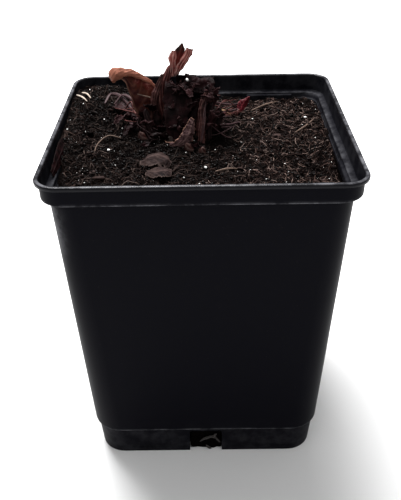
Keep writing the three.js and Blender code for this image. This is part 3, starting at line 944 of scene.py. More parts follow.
        # painted highlight line along the step above the foot band
        foot = self.foot_highlight * math.exp(-(((spot.z - self.foot_height) / 0.35) ** 2))
        grime = self.dust * min(max(1.2 - spot.z / self.foot_height, 0.0), 1.0)
        far = Vector((a - b) / c for a, b, c in zip(spot, self.scuff, (4, 7, 13)))
        scuff = self.scuff_wear * math.exp(-far.length_squared)
        return max(crest, collar, foot, scuff, grime)

    def polish_lip(self, pot: bpy.types.Object) -> None:
        """Gives the lip its own more polished finish."""
        pot.data.materials.append(LIP_PLASTIC.material())
        for face in pot.data.polygons:
            if face.center.z > mm(self.height - self.lip_height + 0.4):
                face.material_index = 1


def bake_modifiers(piece: bpy.types.Object) -> None:
    """Replaces a piece's mesh by what its modifiers make of it."""
    depsgraph = bpy.context.evaluated_depsgraph_get()
    depsgraph.update()
    finished = bpy.data.meshes.new_from_object(piece.evaluated_get(depsgraph))
    piece.modifiers.clear()
    piece.data = finished


# ---- the compost ----


class SoilSurface:
    """The compost's surface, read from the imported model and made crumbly."""

    def __init__(self, pot: NurseryPot) -> None:
        """Reads the surface into a table of heights, one for each millimetre."""
        self.body_half = pot.inner_half(pot.ledge) + 0.7
        self.collar_half = pot.collar_half - pot.wall - 0.4
        self.onto_ledge = pot.ledge + pot.wall
        self.corner = pot.top_corner - 3
        trees = [self.tree_of(name) for name in ("compost", "crown")]
        self.reach = int(self.collar_half) + 2
        side = 2 * self.reach + 1
        self.table = np.zeros((side, side))
        for row in range(side):
            for column in range(side):
                x, y = column - self.reach, row - self.reach
                self.table[row, column] = max(self.drop(tree, x, y) for tree in trees)
        self.table = self.smooth(self.table)

    @staticmethod
    def tree_of(name: str) -> BVHTree:
        """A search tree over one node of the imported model."""
        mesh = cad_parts[name].data
        points = [vertex.co.copy() for vertex in mesh.vertices]
        return BVHTree.FromPolygons(points, [tuple(face.vertices) for face in mesh.polygons])

    def drop(self, tree: BVHTree, x: float, y: float) -> float:
        """The height in millimetres at which something dropped at or just inside a point lands."""
        for limit in (self.collar_half - 0.6, self.body_half - 2.8, self.body_half - 5):
            inside = [min(max(value, -limit), limit) for value in (x, y)]
            hit = tree.ray_cast((mm(inside[0]), mm(inside[1]), 1.0), (0, 0, -1))[0]
            if hit and hit.z * 1000 > self.onto_ledge - 14:
                return hit.z * 1000
        return 0.0

    @staticmethod
    def smooth(table: np.ndarray) -> np.ndarray:
        """Softens the table's facets."""
        for _ in range(3):
            padded = np.pad(table, 1, mode="edge")
            ring = padded[:-2, 1:-1] + padded[2:, 1:-1] + padded[1:-1, :-2] + padded[1:-1, 2:]
            table = 0.5 * table + ring / 8
        return table

    def level(self, x: float, y: float) -> float:
        """The smooth surface's height in millimetres."""
        column = min(max(x + self.reach, 0), self.table.shape[1] - 1.001)
        row = min(max(y + self.reach, 0), self.table.shape[0] - 1.001)
        c, r = int(column), int(row)
        u, v = column - c, row - r
        near = self.table[r, c] * (1 - u) + self.table[r, c + 1] * u
        far = self.table[r + 1, c] * (1 - u) + self.table[r + 1, c + 1] * u
        return near * (1 - v) + far * v

    def height(self, x: float, y: float) -> float:
        """The crumbly surface's height in millimetres."""
        lumps = noise.fractal(Vector((x / 8, y / 8, 1.7)), 1.0, 2.0, 2) * 1.7
        clods = noise.fractal(Vector((x / 4, y / 4, 6.3)), 1.0, 2.0, 2) * 1.1
        crumbs = noise.fractal(Vector((x / 1.9, y / 1.9, 4.2)), 0.8, 2.1, 3) * 0.75
        rough = lumps + clods + crumbs - 0.6
        near_wall = max(abs(x), abs(y)) / self.collar_half
        calm = 1 - 0.6 * max(near_wall - 0.9, 0) / 0.1
        return self.level(x, y) + rough * calm

    def darkening(self, x: float, y: float) -> float:
        """How much darker the surface is made, from 0 towards the right side to 1 in the hollow at the
        crown's right foot, and more on the left and in front of the crown.
        """
        side = 0.4 - 0.36 * math.tanh((x - 14) / 16)
        front = 0.5 * math.exp(-((x + 24) ** 2 + (y + 8) ** 2) / 520)
        patchy = 0.5 * noise.fractal(Vector((x / 12, y / 12, 8.8)), 1.0, 2.0, 2)
        return min(max(side + self.hollow(x, y) + front + patchy, 0.0), 1.0)

    @staticmethod
    def hollow(x: float, y: float) -> float:
        """How deep a point lies in the hollow at the crown's right foot, which is made darker and where
        little litter lies.
        """
        return min(1.2 * math.exp(-(((x - 9) / 9) ** 2) - ((y - 6) / 15) ** 2), 0.96)

    def border(self, x: float, y: float) -> Vector:
        """Where the compost ends in the direction of a point: at the body's or the collar's wall."""
        way = Vector((x, y)) / max(abs(x), abs(y), 1e-6)
        outermost = self.level(*(way * self.collar_half))
        heaped = min(max((outermost - self.onto_ledge) / 1.5, 0.0), 1.0)
        half = self.body_half + heaped * (self.collar_half - self.body_half)
        inset = half - self.corner
        edge = way * half
        corner = Vector((abs(edge.x), abs(edge.y)))
        if min(corner) <= inset:
            return edge
        square, twice, rest = corner.dot(corner), inset * (corner.x + corner.y), 2 * inset**2 - self.corner**2
        scale = (twice + math.sqrt(max(twice**2 - square * rest, 0))) / square
        return edge * min(scale, 1.0)

    def inside(self, x: float, y: float, margin: float = 0.0) -> bool:
        """Whether a point lies inside the wall."""
        return math.hypot(x, y) < self.border(x, y).length - margin

    def pull_in(self, x: float, y: float, margin: float = 0.6) -> tuple[float, float]:
        """A point moved inside the wall if it lies outside."""
        edge = self.border(x, y)
        share = min(1.0, (edge.length - margin) / max(math.hypot(x, y), 1e-6))
        return x * share, y * share


@dataclass
class CompostBlock:
    """The compost as one closed piece, with a finely crumbled top."""

    pot: NurseryPot
    soil: SoilSurface
    count: int = 196
    levels: tuple[float, ...] = (166, 150, 90, 45, 24, 20.5, 17.5, 14.5, 11.5, 8.5, 5.6, 4.3)

    def border(self) -> list[int]:
        """The numbers of the grid's outermost points, in order round it."""
        last, count = self.count - 1, self.count
        front = list(range(last))
        right = [row * count + last for row in range(last)]
        back = [last * count + column for column in range(last, 0, -1)]
        left = [row * count for row in range(last, 0, -1)]
        return front + right + back + left

    def spot(self, u: float, v: float) -> tuple[float, float]:
        """The place of a grid point, given from -1 to 1 each way."""
        edge = self.soil.border(u, v) * max(abs(u), abs(v))
        return edge.x, edge.y

    def side_point(self, x: float, y: float, level: float) -> Vector:
        """A rough point of the compost's side, against the pot's wall, in millimetres."""
        half = self.pot.outer_half(level) - self.pot.wall - 1.0
        if level < self.pot.foot_height:
            half = self.pot.foot_half - self.pot.wall - 1.0
        corner = self.pot.corner_at(level)
        inset = half - corner
        way = Vector((x, y, 0)) / max(abs(x), abs(y))
        flat = way * half
        over = Vector((max(abs(flat.x) - inset, 0), max(abs(flat.y) - inset, 0), 0))
        if min(over.x, over.y) > 0 and over.length > corner:
            over *= corner / over.length
            flat = Vector((math.copysign(inset + over.x, x), math.copysign(inset + over.y, y), 0))
        rough = 0.5 * noise.fractal(Vector((flat.x, flat.y, level)) / 3, 0.9, 2.0, 3)
        flat -= flat.normalized() * abs(rough)
        return Vector((flat.x, flat.y, level))

    def build(self) -> bpy.types.Object:
        """Builds the compost.

        Returns:
            The compost's block.
        """
        places = [2 * number / (self.count - 1) - 1 for number in range(self.count)]
        spots = [self.spot(u, v) for v in places for u in places]
        points = [Vector((x, y, self.soil.height(x, y))) for x, y in spots]
        darkening = [self.soil.darkening(x, y) for x, y in spots]
        faces = Grid(self.count, self.count).sheet_faces()
        ring = self.border()
        edge = [points[number] for number in ring]
        sides = [[Vector((x, y, max(min(z, self.soil.onto_ledge), 168.5) - 0.2)) for x, y, z in edge]]
        sides += [[self.side_point(point.x, point.y, level) for point in edge] for level in self.levels]
        for side in sides:
            fresh = list(range(len(points), len(points) + len(ring)))
            points += side
            darkening += [0.6] * len(ring)
            for index, number in enumerate(ring):
                after = (index + 1) % len(ring)
                faces.append((ring[after], number, fresh[index], fresh[after]))
            ring = fresh
        faces.append(tuple(ring[::-1]))
        return add_piece(
            "compost_block", [point * 0.001 for point in points], faces, COMPOST_GROUND,
            ["compost"], {"darkening": darkening},
        )


@dataclass
class NotchFill:
    """Compost that has crept out into a drain notch, as far as the pot's foot."""

    pot: NurseryPot
    side: int
    rows: int = 14
    columns: int = 26
    roughness: float = 1.1
    thickness: float = 2.0

    def build(self) -> bpy.types.Object:
        """Builds the rough face of compost in one notch.

        Returns:
            The notch's compost.
        """
        width, _, height = self.pot.notch
        front = self.pot.foot_half - self.pot.wall - 1.2
        turn = Matrix.Rotation(self.side * math.pi / 2, 3, "Z")
        points = []
        for row in range(self.rows):
            level = 0.5 + (height - 2.5) * row / (self.rows - 1)
            for column in range(self.columns):
                across = (column / (self.columns - 1) - 0.5) * (width - 1.2)
                place = Vector((across / 3, self.side * 5, level / 3))
                rough = self.roughness * noise.fractal(place, 0.9, 2.0, 3)
                points.append(turn @ Vector((across, -front + 0.7 + rough, level)) * 0.001)
        faces = Grid(self.rows, self.columns).sheet_faces()
        fill = add_piece(
            f"notch_compost_{self.side + 1}", points, faces, COMPOST_GROUND, [],
            {"darkening": [0.5] * len(points)},
        )
        thicken(fill, self.thickness)
        return fill


@dataclass
class Litter(ABC):
    """Thousands of loose bits of one kind, made as one piece."""

    soil: SoilSurface
    count: int
    seed: int

    def __post_init__(self) -> None:
        """Seeds the litter's own random numbers."""
        self.dice = random.Random(self.seed)
        self.points: list[Vector] = []
        self.faces: list[tuple[int, ...]] = []
        self.darkening: list[float] = []

    def spot(self, margin: float) -> tuple[float, float]:
        """A random place on the surface, in millimetres."""
        while True:
            x = self.dice.uniform(-self.soil.collar_half, self.soil.collar_half)
            y = self.dice.uniform(-self.soil.collar_half, self.soil.collar_half)
            bare = self.dice.random() < self.soil.hollow(x, y)
            if self.soil.inside(x, y, margin) and not bare:
                return x, y

    def keep(self, points: list[Vector], faces: list[tuple[int, ...]], darkening: float) -> None:
        """Adds one bit's points, in millimetres, and its faces."""
        start = len(self.points)
        self.points += points
        self.faces += [tuple(start + number for number in face) for face in faces]
        self.darkening += [darkening] * len(points)

    @abstractmethod
    def scatter(self) -> None:
        """Makes one bit."""

    def build(self, name: str, finish: Finish, slot: Slot, replaces: Sequence[str] = ()) -> bpy.types.Object:
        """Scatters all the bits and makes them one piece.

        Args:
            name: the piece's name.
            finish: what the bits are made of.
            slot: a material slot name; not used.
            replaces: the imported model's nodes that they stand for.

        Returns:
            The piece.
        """
        share = 1.0
        for _ in range(int(self.count * share)):
            self.scatter()
        points = [point * 0.001 for point in self.points]
        return add_piece(name, points, self.faces, finish, replaces, {"darkening": self.darkening})


@dataclass
class Fibres(Litter):
    """Short bent fibres lying at all angles, a few of them standing up a little."""

    longest: float = 11.0
    thickest: float = 0.34
    sides: int = 4
    joints: int = 5

    def scatter(self) -> None:
        """Lays one fibre along the surface."""
        x, y = self.spot(1.5)
        heading = self.dice.uniform(0, 2 * math.pi)
        bend = self.dice.gauss(0, 0.22)
        length = 2.0 + (self.longest - 2.0) * self.dice.random() ** 2.2
        radius = self.thickest * self.dice.uniform(0.35, 1.0)
        rise = self.dice.uniform(0, 0.12) * length if self.dice.random() < 0.25 else 0.0
        points = []
        for joint in range(self.joints):
            t = joint / (self.joints - 1)
            level = self.soil.height(x, y) + radius * 0.8 + rise * math.sin(math.pi * t)
            thick = radius * (0.35 + 0.65 * math.sin(math.pi * (0.15 + 0.7 * t)))
            across = Vector((-math.sin(heading), math.cos(heading), 0))
            for side in range(self.sides):
                angle = 2 * math.pi * side / self.sides
                offset = across * math.cos(angle) * thick + Vector((0, 0, math.sin(angle) * thick))
                points.append(Vector((x, y, level)) + offset)
            x += math.cos(heading) * length / (self.joints - 1)
            y += math.sin(heading) * length / (self.joints - 1)
            heading += bend
            x, y = self.soil.pull_in(x, y, 0.8)
        darkening = self.soil.darkening(points[0].x, points[0].y)
        self.keep(points, Grid(self.joints, self.sides).tube_faces(), darkening)


@dataclass
class Crumbs(Litter):
    """Rough crumbs half sunk in the surface."""

    smallest: float = 0.5
    largest: float = 2.2
    flatness: float = 0.75
    angular: float = 0.28
    margin: float = 1.6

    def __post_init__(self) -> None:
        """Makes the rough ball that each crumb starts from."""
        super().__post_init__()
        ball = bmesh.new()
        bmesh.ops.create_icosphere(ball, subdivisions=1, radius=1.0)
        self.ball_points = [vertex.co.copy() for vertex in ball.verts]
        self.ball_faces = [tuple(vertex.index for vertex in face.verts) for face in ball.faces]
        ball.free()

    def scatter(self) -> None:
        """Drops one crumb."""
        x, y = self.spot(self.margin)
        size = self.smallest + (self.largest - self.smallest) * self.dice.random() ** 3
        self.drop(x, y, size)

    def drop(self, x: float, y: float, size: float, lift: float = 0.25) -> None:
        """Drops one crumb of a given size at a place."""
        turn = Matrix.Rotation(self.dice.uniform(0, 6.28), 3, Vector((0.3, 0.5, 1)).normalized())
        tilt = Matrix.Rotation(self.dice.gauss(0, 0.35), 3, "X")
        widths = Vector((1.0, self.dice.uniform(0.55, 0.95), self.flatness * self.dice.uniform(0.6, 1.0)))
        centre = Vector((x, y, self.soil.height(x, y) + size * lift * self.flatness))
        points = []
        for corner in self.ball_points:
            rough = 1 + self.dice.uniform(-self.angular, self.angular)
            shaped = Vector(a * b for a, b in zip(corner, widths)) * (rough * size * 0.5)
            points.append(centre + tilt @ (turn @ shaped))
        self.keep(points, self.ball_faces, self.soil.darkening(x, y))


# ---- stalks, stems and straws ----


@dataclass
class Stem:
    """A round or ridged stem along a curve."""

    name: str
    points: Sequence[Triple]
    radii: Sequence[float]
    finish: Finish
    slot: Slot
    replaces: Sequence[str] = ()
    ridges: int = 5
    ridge_depth: float = 0.12
    knots: float = 0.06
    flat: float = 1.0
    sides: int = 24
    steps: int = 44
    twist: float = 0.6
    seed: int = 1
    from_crown: bool = True

    def path(self) -> list[Vector]:
        """The stem's points in metres."""
        if self.from_crown:
            return [CROWN.at(point) for point in self.points]
        return [Vector(point) * 0.001 for point in self.points]

    def build(self) -> bpy.types.Object:
        """Builds the stem.

        Returns:
            The stem.
        """
        path = self.path()
        centres = [spline(path, step / self.steps) for step in range(self.steps + 1)]
        sideways = Vector((0, 0, 1)).cross(centres[1] - centres[0])
        if sideways.length < 1e-7:
            sideways = Vector((1, 0, 0))
        points: list[Vector] = []
        strands: list[float] = []
        for step, centre in enumerate(centres):
            share = step / self.steps
            ahead = centres[min(step + 1, self.steps)] - centres[max(step - 1, 0)]
            ahead.normalize()
            sideways = (sideways - ahead * sideways.dot(ahead)).normalized()
            upward = ahead.cross(sideways)
            blunt = min(1.0, 0.35 + 9 * share, 0.3 + 9 * (1 - share)) ** 0.6
            radius = mm(between(self.radii, share)) * blunt
            for side in range(self.sides):
                angle = 2 * math.pi * side / self.sides
                ridge = math.cos(self.ridges * (angle + self.twist * share * 3))
                spot = centre + (sideways * math.cos(angle) + upward * math.sin(angle)) * radius
                knot = wobble(spot, 3.0, self.seed)
                reach = radius * (1 + self.ridge_depth * ridge + self.knots * knot)
                points.append(
                    centre + sideways * math.cos(angle) * reach + upward * math.sin(angle) * reach * self.flat
                )
                streak = noise.noise(Vector((side * 1.7, share * 4, self.seed)))
                strands.append(0.5 + 0.35 * ridge + 0.4 * streak)
        faces = Grid(self.steps + 1, self.sides).tube_faces()
        return add_piece(
            self.name, points, faces, self.finish, self.replaces, {"strand": strands}
        )


# ---- leaves ----


class Tint(Enum):
    """What a leaf's colour follows."""

    PATCHES = "patches"
    ALONG = "along"
    ROLL = "roll"


@dataclass
class Leaf(ABC):
    """A thin crumpled leaf, given by a surface and made into a closed sheet."""

    name: str
    finish: Finish
    slot: Slot
    replaces: Sequence[str] = ()
    tint: Tint = Tint.PATCHES
    thickness: float = 0.32
    crumple: float = 0.55
    crumple_size: float = 4.5
    ruffle: float = 0.7
    ragged: float = 0.16
    vein_count: float = 5.0
    pleats: int = 0
    vein_depth: float = 0.32
    rows: int = 72
    columns: int = 44
    seed: int = 1

    @abstractmethod
    def surface(self, along: float, across: float) -> Vector:
        """The smooth leaf's point, in metres, at along 0 to 1 and across -1 to 1."""

    def normal(self, along: float, across: float) -> Vector:
        """The smooth leaf's normal."""
        step = 0.01
        u = self.surface(min(along + step, 1), across) - self.surface(max(along - step, 0), across)
        v = self.surface(along, min(across + step, 1)) - self.surface(along, max(across - step, -1))
        return v.cross(u).normalized()

    def torn(self, along: float, across: float) -> float:
        """How far across a point lies once the leaf's edges are ragged."""
        edge = Vector((along * 9, math.copysign(1.0, across), self.seed * 1.3))
        bite = noise.fractal(edge, 0.8, 2.2, 4) * self.ragged
        return across * (1 + min(bite, 0.06) * abs(across) ** 2)

    def vein(self, along: float, across: float) -> float:
        """How near a point is to a vein, from 0 to 1."""
        if self.pleats:
            lean = 0.6 * noise.noise(Vector((along * 2.5, across, self.seed)))
            return max(math.cos(math.pi * self.pleats * (across + lean)), 0.0) ** 2
        middle = math.exp(-((across / 0.1) ** 2))
        drift = 0.5 * noise.noise(Vector((along * 3, across * 3, self.seed)))
        branch = self.vein_count * (along - 0.45 * abs(across)) + drift
        near = abs(branch - round(branch)) / max(self.vein_count, 1) * 8
        return max(middle, 0.7 * math.exp(-((near / 0.16) ** 2)) * (1 - 0.4 * abs(across)))

    def relief(self, spot: Vector, along: float, across: float) -> float:
        """How far a point stands off the smooth leaf, in metres."""
        puckers = wobble(spot, self.crumple_size, self.seed, 3) * self.crumple
        wave = wobble(spot, self.crumple_size * 1.4, self.seed + 9, 2) * self.ruffle * abs(across) ** 3
        rib = self.vein(along, across) * self.vein_depth
        return mm(puckers + wave + rib)

    def tint_at(self, spot: Vector, along: float, across: float) -> float:
        """The number that the finish turns into a colour."""
        patches = 0.5 + 0.4 * wobble(spot, 6.0, self.seed + 3, 3)
        if self.tint is Tint.ALONG:
            return 0.85 * along + 0.15 * patches
        if self.tint is Tint.ROLL:
            return self.roll_tint(along, across) + 0.16 * (patches - 0.5)
        return patches

    def roll_tint(self, along: float, across: float) -> float:
        """The colour number of a leaf whose roll differs from its face."""
        return 0.5 + 0.5 * across * along

    def build(self) -> bpy.types.Object:
        """Builds the leaf.

        Returns:
            The leaf.
        """
        points, tints, veins, rims = [], [], [], []
        for row in range(self.rows):
            along = row / (self.rows - 1)
            for column in range(self.columns):
                across = 2 * column / (self.columns - 1) - 1
                place = min(max(self.torn(along, across), -1.15), 1.15)
                spot = self.surface(along, place)
                points.append(spot + self.normal(along, across) * self.relief(spot, along, across))
                tints.append(self.tint_at(spot, along, across))
                veins.append(self.vein(along, across))
                border = max(abs(across), abs(2 * along - 1) ** 2)
                rims.append(min(max((border - 0.86) / 0.14, 0.0), 1.0))
        faces = Grid(self.rows, self.columns).sheet_faces()
        leaf = add_piece(
            self.name, points, faces, self.finish, self.replaces,
            {"tint": tints, "vein": veins, "rim": rims},
        )
        thicken(leaf, self.thickness)
        return leaf


@dataclass
class Blade(Leaf):
    """A leaf blade spread to both sides of its midrib."""

    midrib: Sequence[Triple] = ()
    half_widths: Sequence[float] = ()
    side: Triple = (1, 0, 0)
    hollow: float = 1.0

    def __post_init__(self) -> None:
        """Turns the midrib into metres."""
        self.spine = [CROWN.at(point) for point in self.midrib]
        self.across_way = Vector(self.side).normalized()
        self.widest = max(self.half_widths)

    def surface(self, along: float, across: float) -> Vector:
        """The smooth leaf's point."""
        middle = spline(self.spine, along)
        ahead = spline(self.spine, min(along + 0.02, 1)) - spline(self.spine, max(along - 0.02, 0))
        lift = self.across_way.cross(ahead).normalized()
        width = between(self.half_widths, along)
        off = -self.hollow * (width / self.widest) * across * across
        return middle + self.across_way * mm(width * across) + lift * mm(off)


@dataclass
class RolledLeaf(Leaf):
    """A leaf hanging from a ridge, with its upper edge rolled over towards the front."""

    ridge: Sequence[Triple] = ()
    drops: Sequence[float] = ()
    rolls: Sequence[float] = ()

    def __post_init__(self) -> None:
        """Turns the ridge into metres."""
        self.spine = [CROWN.at(point) for point in self.ridge]

    def surface(self, along: float, across: float) -> Vector:
        """The smooth leaf's point, from the roll's lip at -1 over the ridge to the foot at 1."""
        top = spline(self.spine, along)
        drop, roll = between(self.drops, along), between(self.rolls, along)
        rib = [
            Vector((0.1 * roll, -0.1 * roll, -2.1 * roll)),
            Vector((0, -0.6 * roll, -1.6 * roll)),
            Vector((0, -0.7 * roll, -0.8 * roll)),
            Vector((0, 0, 0)),
            Vector((0, 0.8 * roll, -0.22 * drop - 0.3 * roll)),
            Vector((0, 0.6 * roll, -0.6 * drop)),
            Vector((0, -0.3 * roll, -drop)),
        ]
        return top + spline(rib, (across + 1) / 2) * 0.001

    def roll_tint(self, along: float, across: float) -> float:
        """Tan on the roll, red-brown on the face, darkening to maroon towards its foot; that darkening is
        partly the dying leaf's own colour and partly painted shade under the roll.
        """
        if across < 0.02:
            return 0.74 + 0.22 * along
        return 0.62 - 0.62 * across + 0.1 * along


@dataclass
class Bud:
    """A pointed bud wrapped in scales."""

    name: str
    foot: Triple
    tip: Triple
    radius: float
    finish: Finish = BUD_SKIN
    replaces: Sequence[str] = ()
    scales: int = 3
    seed: int = 5
    rows: int = 26
    columns: int = 36

    def build(self) -> bpy.types.Object:
        """Builds the bud.

        Returns:
            The bud.
        """
        foot, tip = CROWN.at(self.foot), CROWN.at(self.tip)
        ahead = (tip - foot).normalized()
        sideways = ahead.orthogonal().normalized()
        upward = ahead.cross(sideways)
        points, strands = [], []
        for row in range(self.rows):
            share = row / (self.rows - 1)
            swell = math.sin(math.pi * (0.12 + 0.86 * share) ** 0.8) ** 0.7
            middle = foot.lerp(tip, share)
            for column in range(self.columns):
                angle = 2 * math.pi * column / self.columns
                wrap = (angle / (2 * math.pi) * self.scales + share * 1.4) % 1.0
                scale = 0.86 + 0.2 * wrap
                spot = middle + sideways * math.cos(angle) * mm(self.radius)
                reach = mm(self.radius) * swell * scale * (1 + 0.08 * wobble(spot, 1.6, self.seed))
                points.append(middle + (sideways * math.cos(angle) + upward * math.sin(angle)) * reach)
                strands.append(0.25 + 0.6 * wrap)
        faces = Grid(self.rows, self.columns).tube_faces()
        return add_piece(
            self.name, points, faces, self.finish, self.replaces, {"strand": strands}
        )


@dataclass
class Rootstock:
    """The knobbly crown itself, most of it below the compost."""

    voxel: float = 0.8
    knobs: float = 1.0

    def build(self) -> bpy.types.Object:
        """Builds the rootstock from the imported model's lumps.

        Returns:
            The rootstock.
        """
        root = bpy.data.objects.new("rootstock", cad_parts["crown"].data.copy())
        add_to_scene(root)
        remesh = root.modifiers.new("one skin", "REMESH")
        remesh.mode = "VOXEL"
        remesh.voxel_size = mm(self.voxel)
        bake_modifiers(root)
        mesh = root.data
        normals = [vertex.normal.copy() for vertex in mesh.vertices]
        strands = []
        for vertex, way in zip(mesh.vertices, normals):
            knob = wobble(vertex.co, 5.0, 2, 4)
            strands.append(0.5 + 0.4 * knob)
            vertex.co += way * mm(self.knobs * knob - 0.4)
        store(mesh, "strand", strands)
        mesh.shade_smooth()
        return adopt_piece(root, ROOT_SKIN, ["crown"])


# ---- the plant ----


class Rhubarb:
    """Everything that grows from the crown or fell from it."""

    def stalks(self) -> list[Stem]:
        """The stalks and limp stems."""
        young = {"finish": STALK_SKIN, "slot": Slot.YOUNG_STALK}
        limp = {"finish": MAUVE_SKIN, "slot": Slot.MAUVE_STEM, "sides": 14, "knots": 0.14}
        return [
            Stem("upright_stalk",
                 [(-8, 3, 0), (-9, 4, 11), (-8.4, 5, 20), (-6.6, 6.4, 27), (-3.6, 7.6, 32.5),
                  (-1.6, 8.2, 37)],
                 [3.2, 2.8, 2.6, 2.3, 1.9, 1.3], replaces=["upright_stalk"], ridges=9, ridge_depth=0.16,
                 twist=1.1, sides=36, seed=2, **young),
            Stem("old_stalk_right", [(17.5, -6, -1), (18.5, -2, 10), (19.5, 2, 18)], [1.6, 1.3, 0.7],
                 WET_SKIN, Slot.MAUVE_STEM, ["old_stalk_right"], ridges=6, ridge_depth=0.2, seed=3),
            Stem("old_stalk_left", [(-12, -6, -1), (-14.5, -4, 9), (-16, -1, 16)], [2.1, 1.8, 1.2],
                 WET_SKIN, Slot.MAUVE_STEM, ["old_stalk_left"], ridges=6, ridge_depth=0.2, seed=4),
            Stem("looped_stem_outer",
                 [(-42, 29, 8), (-39, 36.5, 11), (-33.6, 31.6, 12), (-28, 23, 10.6), (-25, 14.5, 8.6),
                  (-23.6, 7.5, 6.6)],
                 [0.7, 0.9, 1.0, 0.9, 0.8], replaces=["looped_stem_outer"], flat=0.55, seed=6, **limp),
            Stem("looped_stem_inner", [(-36, 25, 9), (-31, 28, 13.4), (-25, 20, 13.6), (-19.5, 12, 10)],
                 [0.6, 0.8, 0.7], replaces=["looped_stem_inner"], flat=0.6, seed=7, **limp),
            Stem("twisted_stem", [(-26, 8, 4.4), (-22.5, 2.6, 5), (-20.5, -5, 3.5), (-18, -11, 2.5)],
                 [0.8, 1.0, 0.7], replaces=["twisted_stem"], flat=0.6, seed=8, **limp),
            Stem("trailing_stem_low", [(18, 6, 12), (24, 16, 7), (30, 28, 3), (36, 38, 0.6)],
                 [0.8, 0.6, 0.4], replaces=["trailing_stem_low"], seed=9, **limp),
            Stem("trailing_stem_high", [(19, 8, 16), (25, 20, 10.5), (31, 34, 4.5), (37, 48, 0)],
                 [0.8, 0.6, 0.4], replaces=["trailing_stem_high"], seed=10, **limp),
            Stem("trailing_stem_short", [(17, -2, 6), (23, 4, 4), (30, 10, 2), (36, 18, 0.4)],
                 [0.8, 0.6, 0.4], replaces=["trailing_stem_short"], seed=11, **limp),
            Stem("red_shoot_stalk", [(33.4, 34.4, -2), (34.8, 35.2, -0.6), (36.4, 36, 0.6)], [1.6, 1.4, 1.1],
                 replaces=["red_shoot_stalk"], ridges=5, sides=16, steps=18, seed=12, **young),
        ]

    def young_leaves(self) -> list[Leaf]:
        """The furled young leaf's three lobes, its husk, and the crimson shoot."""
        pink = {"finish": YOUNG_LEAF, "slot": Slot.YOUNG_LEAF, "tint": Tint.ALONG, "crumple": 0.35,
                "crumple_size": 2.6, "ruffle": 0.4, "rows": 56, "columns": 30, "pleats": 3}
        return [
            Blade("upright_leaf_left",
                  midrib=[(-1.6, 6.4, 31), (-0.9, 6.4, 37), (-0.8, 6.9, 41.4), (0.1, 7.4, 44.8)],
                  half_widths=[1.4, 1.5, 2.1, 0.9], replaces=["upright_leaf_left"], seed=21, **pink),
            Blade("upright_leaf_centre", YOUNG_LEAF_DARK, Slot.YOUNG_LEAF_DARK,
                  ["upright_leaf_centre"], Tint.ALONG, crumple=0.35, crumple_size=2.4, rows=56,
                  columns=30, midrib=[(-0.9, 9, 31), (1.4, 8.8, 38), (3.1, 9, 43.4), (4.5, 9.4, 48)],
                  half_widths=[1.4, 2.1, 2.7, 0.4], side=(1, 0, -0.3), seed=22),
            Blade("upright_leaf_right",
                  midrib=[(0.3, 7.2, 31), (3.6, 7, 37), (6.8, 7, 42), (8.6, 6.8, 45.8)],
                  half_widths=[1.1, 1.9, 2.0, 1.7], side=(1, 0, -0.3), replaces=["upright_leaf_right"],
                  seed=23, **pink),
            Blade("upright_husk", SHEATH_LEAF, Slot.DRY_LEAF, ["upright_husk"], Tint.PATCHES,
                  crumple=0.7, ragged=0.5, ruffle=1.0, pleats=3,
                  midrib=[(-10, -0.6, 0), (-11.6, 0, 9), (-11.2, 1, 18), (-9.4, 3, 25.5), (-6.6, 5, 33)],
                  half_widths=[2.2, 2.4, 2.2, 1.7, 0.7], seed=24),
            Blade("red_shoot_leaf", CRIMSON_LEAF, Slot.CRIMSON_LEAF, ["red_shoot_leaf"],
                  Tint.PATCHES, crumple=0.4, crumple_size=2.4, ruffle=0.5, rows=48, columns=30,
                  midrib=[(37, 36.4, -0.6), (37.6, 36.8, 1.6), (38.6, 37.4, 4), (40.4, 38, 6.2),
                          (41.9, 38.4, 7.7)],
                  half_widths=[1.2, 2.6, 2.9, 1.7, 0.5], hollow=1.6, seed=25),
        ]

